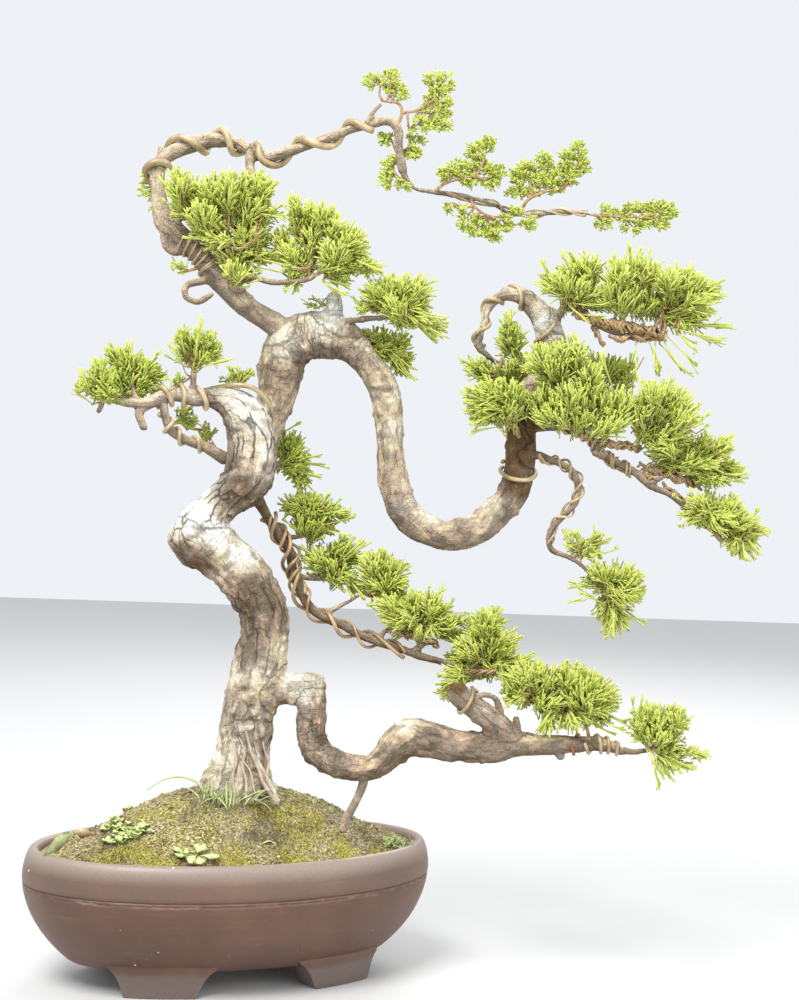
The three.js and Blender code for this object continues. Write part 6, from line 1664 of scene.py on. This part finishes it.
def make_wire(name, limb, start, end, turns, phase, radius):
    strands, slack = STRANDS.get(name, (1, 1))
    parts = []
    for strand in range(strands):
        lead = LEADS.get(name, ()) if strand == 0 else ()
        width = radius * (1 if strands == 1 else STRAND_WIDTHS[strand])
        line = wire_line(limb, start, end, turns * slack * (1 + 0.18 * strand), phase + strand * 0.9, width,
                         lead, LOOSE.get(name, 0), TILTED.get(name, 0))
        parts.append(tube(line, [width] * len(line), 8, dome=0.25))
    copper = name == "wire_copper"
    look = "copper" if copper else "vine" if name.startswith("wire_cascade") else "wire"
    return finish_piece(solid_of(name + "_coil", *merged(parts)), [look], [name])


# Foliage
SHOOT_RADII = (0.5, 0.72, 0.74)  # mm, from base to tip
SHOOT_STOPS = (0.0, 0.55, 0.96)
FORK_RADII = (0.62, 0.66)
TWIG_RADII = (0.5, 0.4)
SHORT_STOPS = (0.0, 0.94)
PLAIN_RADII = (0.52, 0.74)
PLAIN_STOPS = (0.0, 0.95)
SHOOT_SIDES = 3
BRUSH_DEPTH = 17  # mm, the most that a brush reaches to its front
FAN_DEPTH = 8
AWAY_STEPS = (-0.75, 0.7, 0.05, -0.4, 0.45)  # where the brushes of a spray lie in its depth
SPOTS_PER_AREA = 0.0163  # twiglets for each square mm of a brush
SHOOTS_PER_SPOT = 4
BENT_SHARE = 0.55  # of the shoots, the rest are straight
FULLNESS = 1.12  # a brush against its place on the sheet
# Sprays darker than the rest, or all the sprays of a group: painted shade for sprays that lie at the back or
# in shade
SHADES = {
    "fan": -0.2, "left": -0.28, "cascade_1": -0.3, "cascade_2": -0.34, "cascade_3": -0.2, "arch_2": -0.2,
    "cascade_6": -0.05, "hook": -0.3, "pad_3": -0.3, "pad_1": -0.1,
}
# Where shoots have dried: right, down, half size, amount
DRY_PLACES = [
    [605, 596, 9, 1.0], [652, 466, 9, 0.8], [514, 424, 13, 0.9], [232, 246, 8, 0.6], [520, 722, 7, 0.5],
]


# Shoots as three-sided tapering tubes along quadratic curves
def shoot_meshes(rows, stops, radii):
    start, bend, end, size, tone, dry = rows
    n = len(start)
    t = np.array(stops)[None, :, None]
    line = (1 - t) ** 2 * start[:, None] + 2 * t * (1 - t) * bend[:, None] + t**2 * end[:, None]
    along = unit(end - start)
    side = unit(np.cross(along, rng.normal(size=(n, 3))))
    over = np.cross(along, side)
    turn = around(SHOOT_SIDES)
    ring = side[:, None] * np.cos(turn)[None, :, None] + over[:, None] * np.sin(turn)[None, :, None]
    radius = np.array(radii)[None, :, None, None] * size[:, None, None, None]
    body = line[:, :, None] + ring[:, None] * radius
    rings = len(stops)
    corners = rings * SHOOT_SIDES + 1
    points = np.concatenate([body.reshape(n, -1, 3), end[:, None]], 1)
    faces = []
    for i in range(rings - 1):
        for k in range(SHOOT_SIDES):
            a = i * SHOOT_SIDES + k
            b = i * SHOOT_SIDES + (k + 1) % SHOOT_SIDES
            faces += [(a, b, b + SHOOT_SIDES), (a, b + SHOOT_SIDES, a + SHOOT_SIDES)]
    last = (rings - 1) * SHOOT_SIDES
    faces += [(last + k, last + (k + 1) % SHOOT_SIDES, corners - 1) for k in range(SHOOT_SIDES)]
    faces.append((2, 1, 0))
    faces = np.array(faces)[None] + (np.arange(n) * corners)[:, None, None]
    marks = {
        "along": np.tile(np.append(np.repeat(stops, SHOOT_SIDES), 1.0), n),
        "tone": np.repeat(tone, corners),
        "dry": np.repeat(dry, corners),
    }
    return points.reshape(-1, 3), faces.reshape(-1, 3), marks


# The nearest point to a target on some chains of points
def nearest_on(chains, target):
    best = None
    for chain in chains:
        for a, b in zip(chain[:-1], chain[1:]):
            f = np.clip((target - a) @ (b - a) / max((b - a) @ (b - a), 1e-9), 0, 1)
            q = a + (b - a) * f
            if best is None or np.linalg.norm(q - target) < np.linalg.norm(best - target):
                best = q
    return best


# Short forks near the tip of some of the shoots
def fork_rows(rows, share, width):
    starts, bends, tips, size, tone, dry = rows
    f = 0.68
    joint = (1 - f) ** 2 * starts + 2 * f * (1 - f) * bends + f * f * tips
    aside = unit(np.cross(tips - joint, rng.normal(size=tips.shape)))
    grow = rng.uniform(0.7, 1.0, (len(tips), 1))
    ends = joint + (tips - joint) * grow + aside * width * rng.uniform(0.7, 1.3, (len(tips), 1))
    chosen = rng.random(len(tips)) < share
    fork = [joint, (joint + ends) / 2 + aside * 0.4, ends, size, tone, dry]
    return [values[chosen] for values in fork]


# The twiglets of one brush: where each starts, its heading and its length
def brush_spots(centre, half, heading, fan):
    a, d, b = half
    area = 4 * math.pi * (((a * d) ** 1.6 + (a * b) ** 1.6 + (d * b) ** 1.6) / 3) ** 0.625
    count = max(5, int(area * SPOTS_PER_AREA * (1.5 if fan else 1)))
    i = (np.arange(count) + 0.5) / count
    level = 1 - 2 * i
    turn = np.arange(count) * GOLDEN_TURN + rng.uniform(0, FULL_TURN)
    ball = np.stack([np.cos(turn) * np.sqrt(1 - level**2), level, np.sin(turn) * np.sqrt(1 - level**2)], 1)
    ball = unit(ball + rng.normal(0, 0.16, ball.shape))
    kept = (ball @ heading > -0.45) | (rng.random(count) < 0.3)
    kept &= (ball[:, 1] < 0.55) | (rng.random(count) < 0.7)
    ball = ball[kept]
    outward = unit(ball / half)
    ahead = unit(outward * (0.85 if fan else 0.6) + heading * 0.85 + rng.normal(0, 0.14, ball.shape))
    tips = centre + ball * half * rng.uniform(0.8, 1.0, (len(ball), 1))
    longest = np.clip(min(a, b) * 1.85, 5 if fan else 9, 9 if fan else 19)
    length = rng.uniform(0.7, 1.1, len(ball)) * longest
    return tips - ahead * length[:, None], ahead, length


# Straight shoots that spread a little from each twiglet
def brush_shoots(starts, ahead, length):
    n = SHOOTS_PER_SPOT
    foot = np.repeat(starts, n, 0)
    along = np.repeat(ahead, n, 0)
    reach = np.repeat(length, n) * rng.uniform(0.72, 1.1, len(foot))
    splay = unit(along + rng.normal(0, 0.16, along.shape))
    base = foot + along * (reach * rng.uniform(0, 0.25, len(foot)))[:, None] + rng.normal(0, 1.1, foot.shape)
    tips = foot + splay * reach[:, None] + rng.normal(0, 1.1, foot.shape)
    bends = (base + tips) / 2 + (along - splay) * (reach * 0.35)[:, None] + rng.normal(0, 0.7, foot.shape)
    return base, bends, tips


# Flat little fans: a main shoot with short side shoots to either hand
def fan_shoots(starts, ahead, length):
    bases = []
    tips = []
    for foot, along, reach in zip(starts, ahead, length):
        side = unit(np.cross(along, [rng.normal(0, 0.35), 1, rng.normal(0, 0.35)]))
        bases.append(foot)
        tips.append(foot + along * reach)
        for step in range(6):
            at = 0.22 + 0.12 * step + rng.uniform(-0.03, 0.03)
            hand = 1 if step % 2 else -1
            out = unit(along * 0.85 + side * hand * 0.75 + rng.normal(0, 0.12, 3))
            bases.append(foot + along * reach * at)
            tips.append(bases[-1] + out * reach * rng.uniform(0.36, 0.56))
    bases = np.array(bases)
    tips = np.array(tips)
    return bases, (bases + tips) / 2 + rng.normal(0, 0.2, bases.shape), tips


# The shoots of one brush, their forks, and where its twiglets start
def brush_rows(centre, half, heading, fan, shade):
    starts, ahead, length = brush_spots(centre, half, heading, fan)
    base, bends, tips = (fan_shoots if fan else brush_shoots)(starts, ahead, length)
    count = len(base)
    # Painted light and shade: tips further out along the brush's heading are lighter, inner ones darker, and
    # the spray's shade darkens all of them
    lit = np.clip((tips - centre) @ heading / (np.linalg.norm(half) * 1.2), -1, 1)
    tone = np.clip(0.52 + 0.3 * lit + shade + rng.normal(0, 0.13, count), 0, 1)
    size = rng.uniform(0.88, 1.12, count) * (1.12 if fan else 1)
    dried = near_places(tips, DRY_PLACES)
    dry = np.maximum(rng.random(count) < 0.02, dried * (rng.random(count) < 0.8)) * 0.85
    shoots = [base, bends, tips, size, tone, dry]
    return shoots, fork_rows(shoots, 0.75 if fan else 0.32, 1.5 if fan else 1.9), (starts, ahead, length)


# The line of the twig that carries a brush, from the nearest stem to its middle
def core_line(centre, half, heading, reachable):
    core = centre - heading * (np.abs(heading) @ half) * 0.62
    foot = nearest_on(reachable, core)
    gap = np.linalg.norm(core - foot)
    arch = (foot + core) / 2 + np.array([0, 0, -0.12 * gap]) + rng.normal(0, gap * 0.05, 3)
    return curve_through(np.array([foot, arch, core, centre - heading * 0.15 * half]), 2.6)[0]


# Thin stems from that twig to the twiglets
def thin_rows(line, heading, starts, ahead, length):
    nearest = np.linalg.norm(line[None] - starts[:, None], axis=2).argmin(1)
    joint = line[np.clip(nearest, len(line) // 2, None)]
    elbow = (joint + starts) / 2 - heading * 0.8 + rng.normal(0, 0.6, starts.shape)
    even = np.full(len(starts), 0.5)
    return [joint, elbow, starts + ahead * (length * 0.25)[:, None], even * 1.6, even, even]


# A loose shoot with two shorter ones beside it, their forks and the line of their thin twig
def stray_rows(stray, middle, room, cores):
    right, down, end_right, end_down = stray
    away = middle - room * rng.uniform(0.1, 0.7)
    start = [right + rng.uniform(-6, 6), down + rng.uniform(-5, 5), away]
    foot, tip = place([start, [end_right, end_down, away - rng.uniform(-3, 5)]])
    stem = nearest_on(cores, foot)
    reach = np.linalg.norm(tip - foot)
    sag = np.array([0, 0, -0.06 * reach])
    line = curve_through(np.array([stem, (stem + foot) / 2 + sag, foot]), 3)[0]
    splay = rng.normal(0, 0.07, (3, 3)) * reach
    starts = foot + (tip - foot) * np.array([0, 0.25, 0.4])[:, None]
    tips = tip + splay * np.array([0, 1, 1.2])[:, None]
    bends = (starts + tips) / 2 + sag * 1.3 - splay * 0.8
    tone = np.full(3, 0.62)
    shoots = [starts, bends, tips, np.array([1.15, 1.0, 1.0]), tone, tone * 0]
    return shoots, fork_rows(shoots, 0.7, 2.4), line


# Shoots, forks, thin stems and twigs as one piece of two materials
def spray_piece(name, shoots, forks, stems, twigs):
    shoots, forks, stems = [[np.concatenate(c) for c in zip(*rows)] for rows in (shoots, forks, stems)]
    bent = rng.random(len(shoots[0])) < BENT_SHARE
    green = [
        shoot_meshes([v[bent] for v in shoots], SHOOT_STOPS, SHOOT_RADII),
        shoot_meshes([v[~bent] for v in shoots], PLAIN_STOPS, PLAIN_RADII),
        shoot_meshes(forks, SHORT_STOPS, FORK_RADII),
    ]
    fork_marks = green[2][2]
    fork_marks["along"] = 0.6 + 0.4 * fork_marks["along"]
    thin_points, thin_faces, _ = shoot_meshes(stems, SHORT_STOPS, TWIG_RADII)
    points, faces = merged([mesh[:2] for mesh in green])
    all_points, all_faces = merged([(points, faces), (thin_points, thin_faces)] + twigs)
    plain = np.zeros(len(all_points) - len(points))
    marks = {}
    for key in ("along", "tone", "dry"):
        marks[key] = np.concatenate([mesh[2][key] for mesh in green] + [plain])
    piece = solid_of("spray_" + name, all_points, all_faces, marks)
    kind = np.zeros(len(all_faces), np.int32)
    kind[len(faces):] = 1
    piece.data.polygons.foreach_set("material_index", kind)
    return finish_piece(piece, ["shoots", "twigs"], ["foliage_" + name])


def make_spray(name, brushes):
    chains = [place(stem) for stem in STEMS[name]]
    reachable = [chains[0][1:]] + chains[1:] if len(chains[0]) > 2 else chains
    low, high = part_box("foliage_" + name)
    middle = (low[1] + high[1]) / 2 / MM
    room = (high[1] - low[1]) / 2 / MM
    fan = name.startswith("fan")
    shade = SHADES.get(name, SHADES.get(name.split("_")[0], 0))
    deep = min(room * 0.85, FAN_DEPTH if fan else BRUSH_DEPTH)
    twigs = []
    for chain in chains:
        line = curve_through(chain, 1.5)[0]
        twigs.append(tube(line, np.linspace(1.5, 1.0, len(line)), 7))
    cores = []
    shoots = []
    forks = []
    stems = []
    for i, (right, down, half_wide, half_high, degrees) in enumerate(brushes):
        away = middle + AWAY_STEPS[i % len(AWAY_STEPS)] * max(room - deep, 0)
        centre = place([right, down, away])[0]
        half_deep = min(deep, 0.65 * (half_wide + half_high))
        half = np.array([half_wide * SQUARE, half_deep, half_high * SQUARE]) * FULLNESS
        turn = math.radians(degrees)
        heading = np.array([math.cos(turn), -0.12, math.sin(turn)])
        shoot, fork, spots = brush_rows(centre, half, heading, fan, shade)
        shoots.append(shoot)
        forks.append(fork)
        line = core_line(centre, half, heading, reachable)
        twigs.append(tube(line, np.linspace(1.2, 0.6, len(line)), 5))
        cores.append(line)
        stems.append(thin_rows(line, heading, *spots))
    for stray in STRAYS.get(name, []):
        shoot, fork, line = stray_rows(stray, middle, room, cores)
        shoots.append(shoot)
        forks.append(fork)
        twigs.append(tube(line, np.linspace(0.8, 0.5, len(line)), 4))
    return spray_piece(name, shoots, forks, stems, twigs)


# Thin wires and twigs that wind along the underside of the sprays
def make_tangles():
    parts = []
    for start, end, count, loose in TANGLES:
        first, last = place([start, end])
        length = np.linalg.norm(last - first)
        for _ in range(count):
            steps = max(7, int(length / 3.2))
            t = np.linspace(rng.uniform(-0.05, 0.2), rng.uniform(0.8, 1.05), steps)[:, None]
            turn = rng.uniform(0, FULL_TURN) + t * length / rng.uniform(1.6, 3.2) * rng.choice([-1, 1])
            ring = np.hstack([np.zeros_like(t), np.cos(turn), np.sin(turn)])
            ring = ring * loose * SQUARE * rng.uniform(0.5, 1)
            line = first + (last - first) * t + ring * [0, 1, 0.8] + rng.normal(0, 0.45, (steps, 3))
            line = curve_through(line, 2.2)[0]
            radius = rng.uniform(0.95, 1.6)
            parts.append(tube(line, radius * (1 + rng.uniform(-0.15, 0.15, len(line))), 5))
    return finish_piece(solid_of("tangled_twigs", *merged(parts)), ["vine"])


# Stage
LENS = 54  # mm
SENSOR_WIDTH = 36  # mm
FLOOR_HALF = 4.0  # metres
LIT_HEIGHT = 0.35  # metres, the height that the lights face
# Each light's place and size in metres, and its power in watts
LIGHTS = {
    "key": ((-0.7, -1.2, 2.1), 1.0, 58),
    "fill": ((1.6, -1.2, 0.9), 1.6, 16),
    "back": ((0.5, 1.6, 1.8), 1.4, 24),
}


def make_floor():
    mesh = bpy.data.meshes.new("floor")
    corners = [(x * FLOOR_HALF, y * FLOOR_HALF, 0) for x, y in ((-1, -1), (1, -1), (1, 1), (-1, 1))]
    mesh.from_pydata(corners, [], [(0, 1, 2, 3)])
    floor = bpy.data.objects.new("floor", mesh)
    scene.collection.objects.link(floor)
    mat, _, shader = material("floor")
    shader.inputs["Base Color"].default_value = (0.6, 0.6, 0.59, 1)
    shader.inputs["Roughness"].default_value = 0.9
    mesh.materials.append(mat)


def make_sky():
    world = bpy.data.worlds.new("studio")
    scene.world = world
    world.use_nodes = True
    background = world.node_tree.nodes["Background"]
    background.inputs[0].default_value = (0.93, 0.96, 1.0, 1)
    background.inputs[1].default_value = 0.92


def make_light(name, at, size, power):
    lamp = bpy.data.lights.new(name, "AREA")
    lamp.energy = power
    lamp.size = size
    obj = bpy.data.objects.new(name, lamp)
    scene.collection.objects.link(obj)
    back = unit(np.array([at[0], at[1], at[2] - LIT_HEIGHT]))
    side = unit(np.cross([0, 0, 1.0], back))
    rows = [(*row, 0) for row in np.stack([side, np.cross(back, side), back], 1)]
    obj.matrix_world = Matrix.Translation(at) @ Matrix(rows + [(0, 0, 0, 1)])


# The camera stands where the sheet is seen from, and leans as it does
def make_camera():
    data = bpy.data.cameras.new("camera")
    data.lens = LENS
    data.sensor_width = SENSOR_WIDTH
    data.clip_end = 20
    camera = bpy.data.objects.new("camera", data)
    scene.collection.objects.link(camera)
    c = math.cos(SHEET_LEAN)
    s = math.sin(SHEET_LEAN)
    x, y, z = SHIFT_X * MM, -VIEW_DISTANCE * MM, VIEW_HEIGHT * MM
    camera.matrix_world = Matrix([(c, -s, 0, x), (0, 0, -1, y), (s, c, 0, z), (0, 0, 0, 1)])
    scene.camera = camera


make_floor()
make_sky()
for light_name, light in LIGHTS.items():
    make_light(light_name, *light)
make_camera()
scene.view_settings.view_transform = "Standard"
make_pot()
make_soil()
make_grit()
make_weeds()
make_moss()
make_wood()
make_root_strands()
for wire_name, wire in WIRES.items():
    make_wire(wire_name, *wire)
for spray_name, spray_brushes in BRUSHES.items():
    make_spray(spray_name, spray_brushes)
make_tangles()
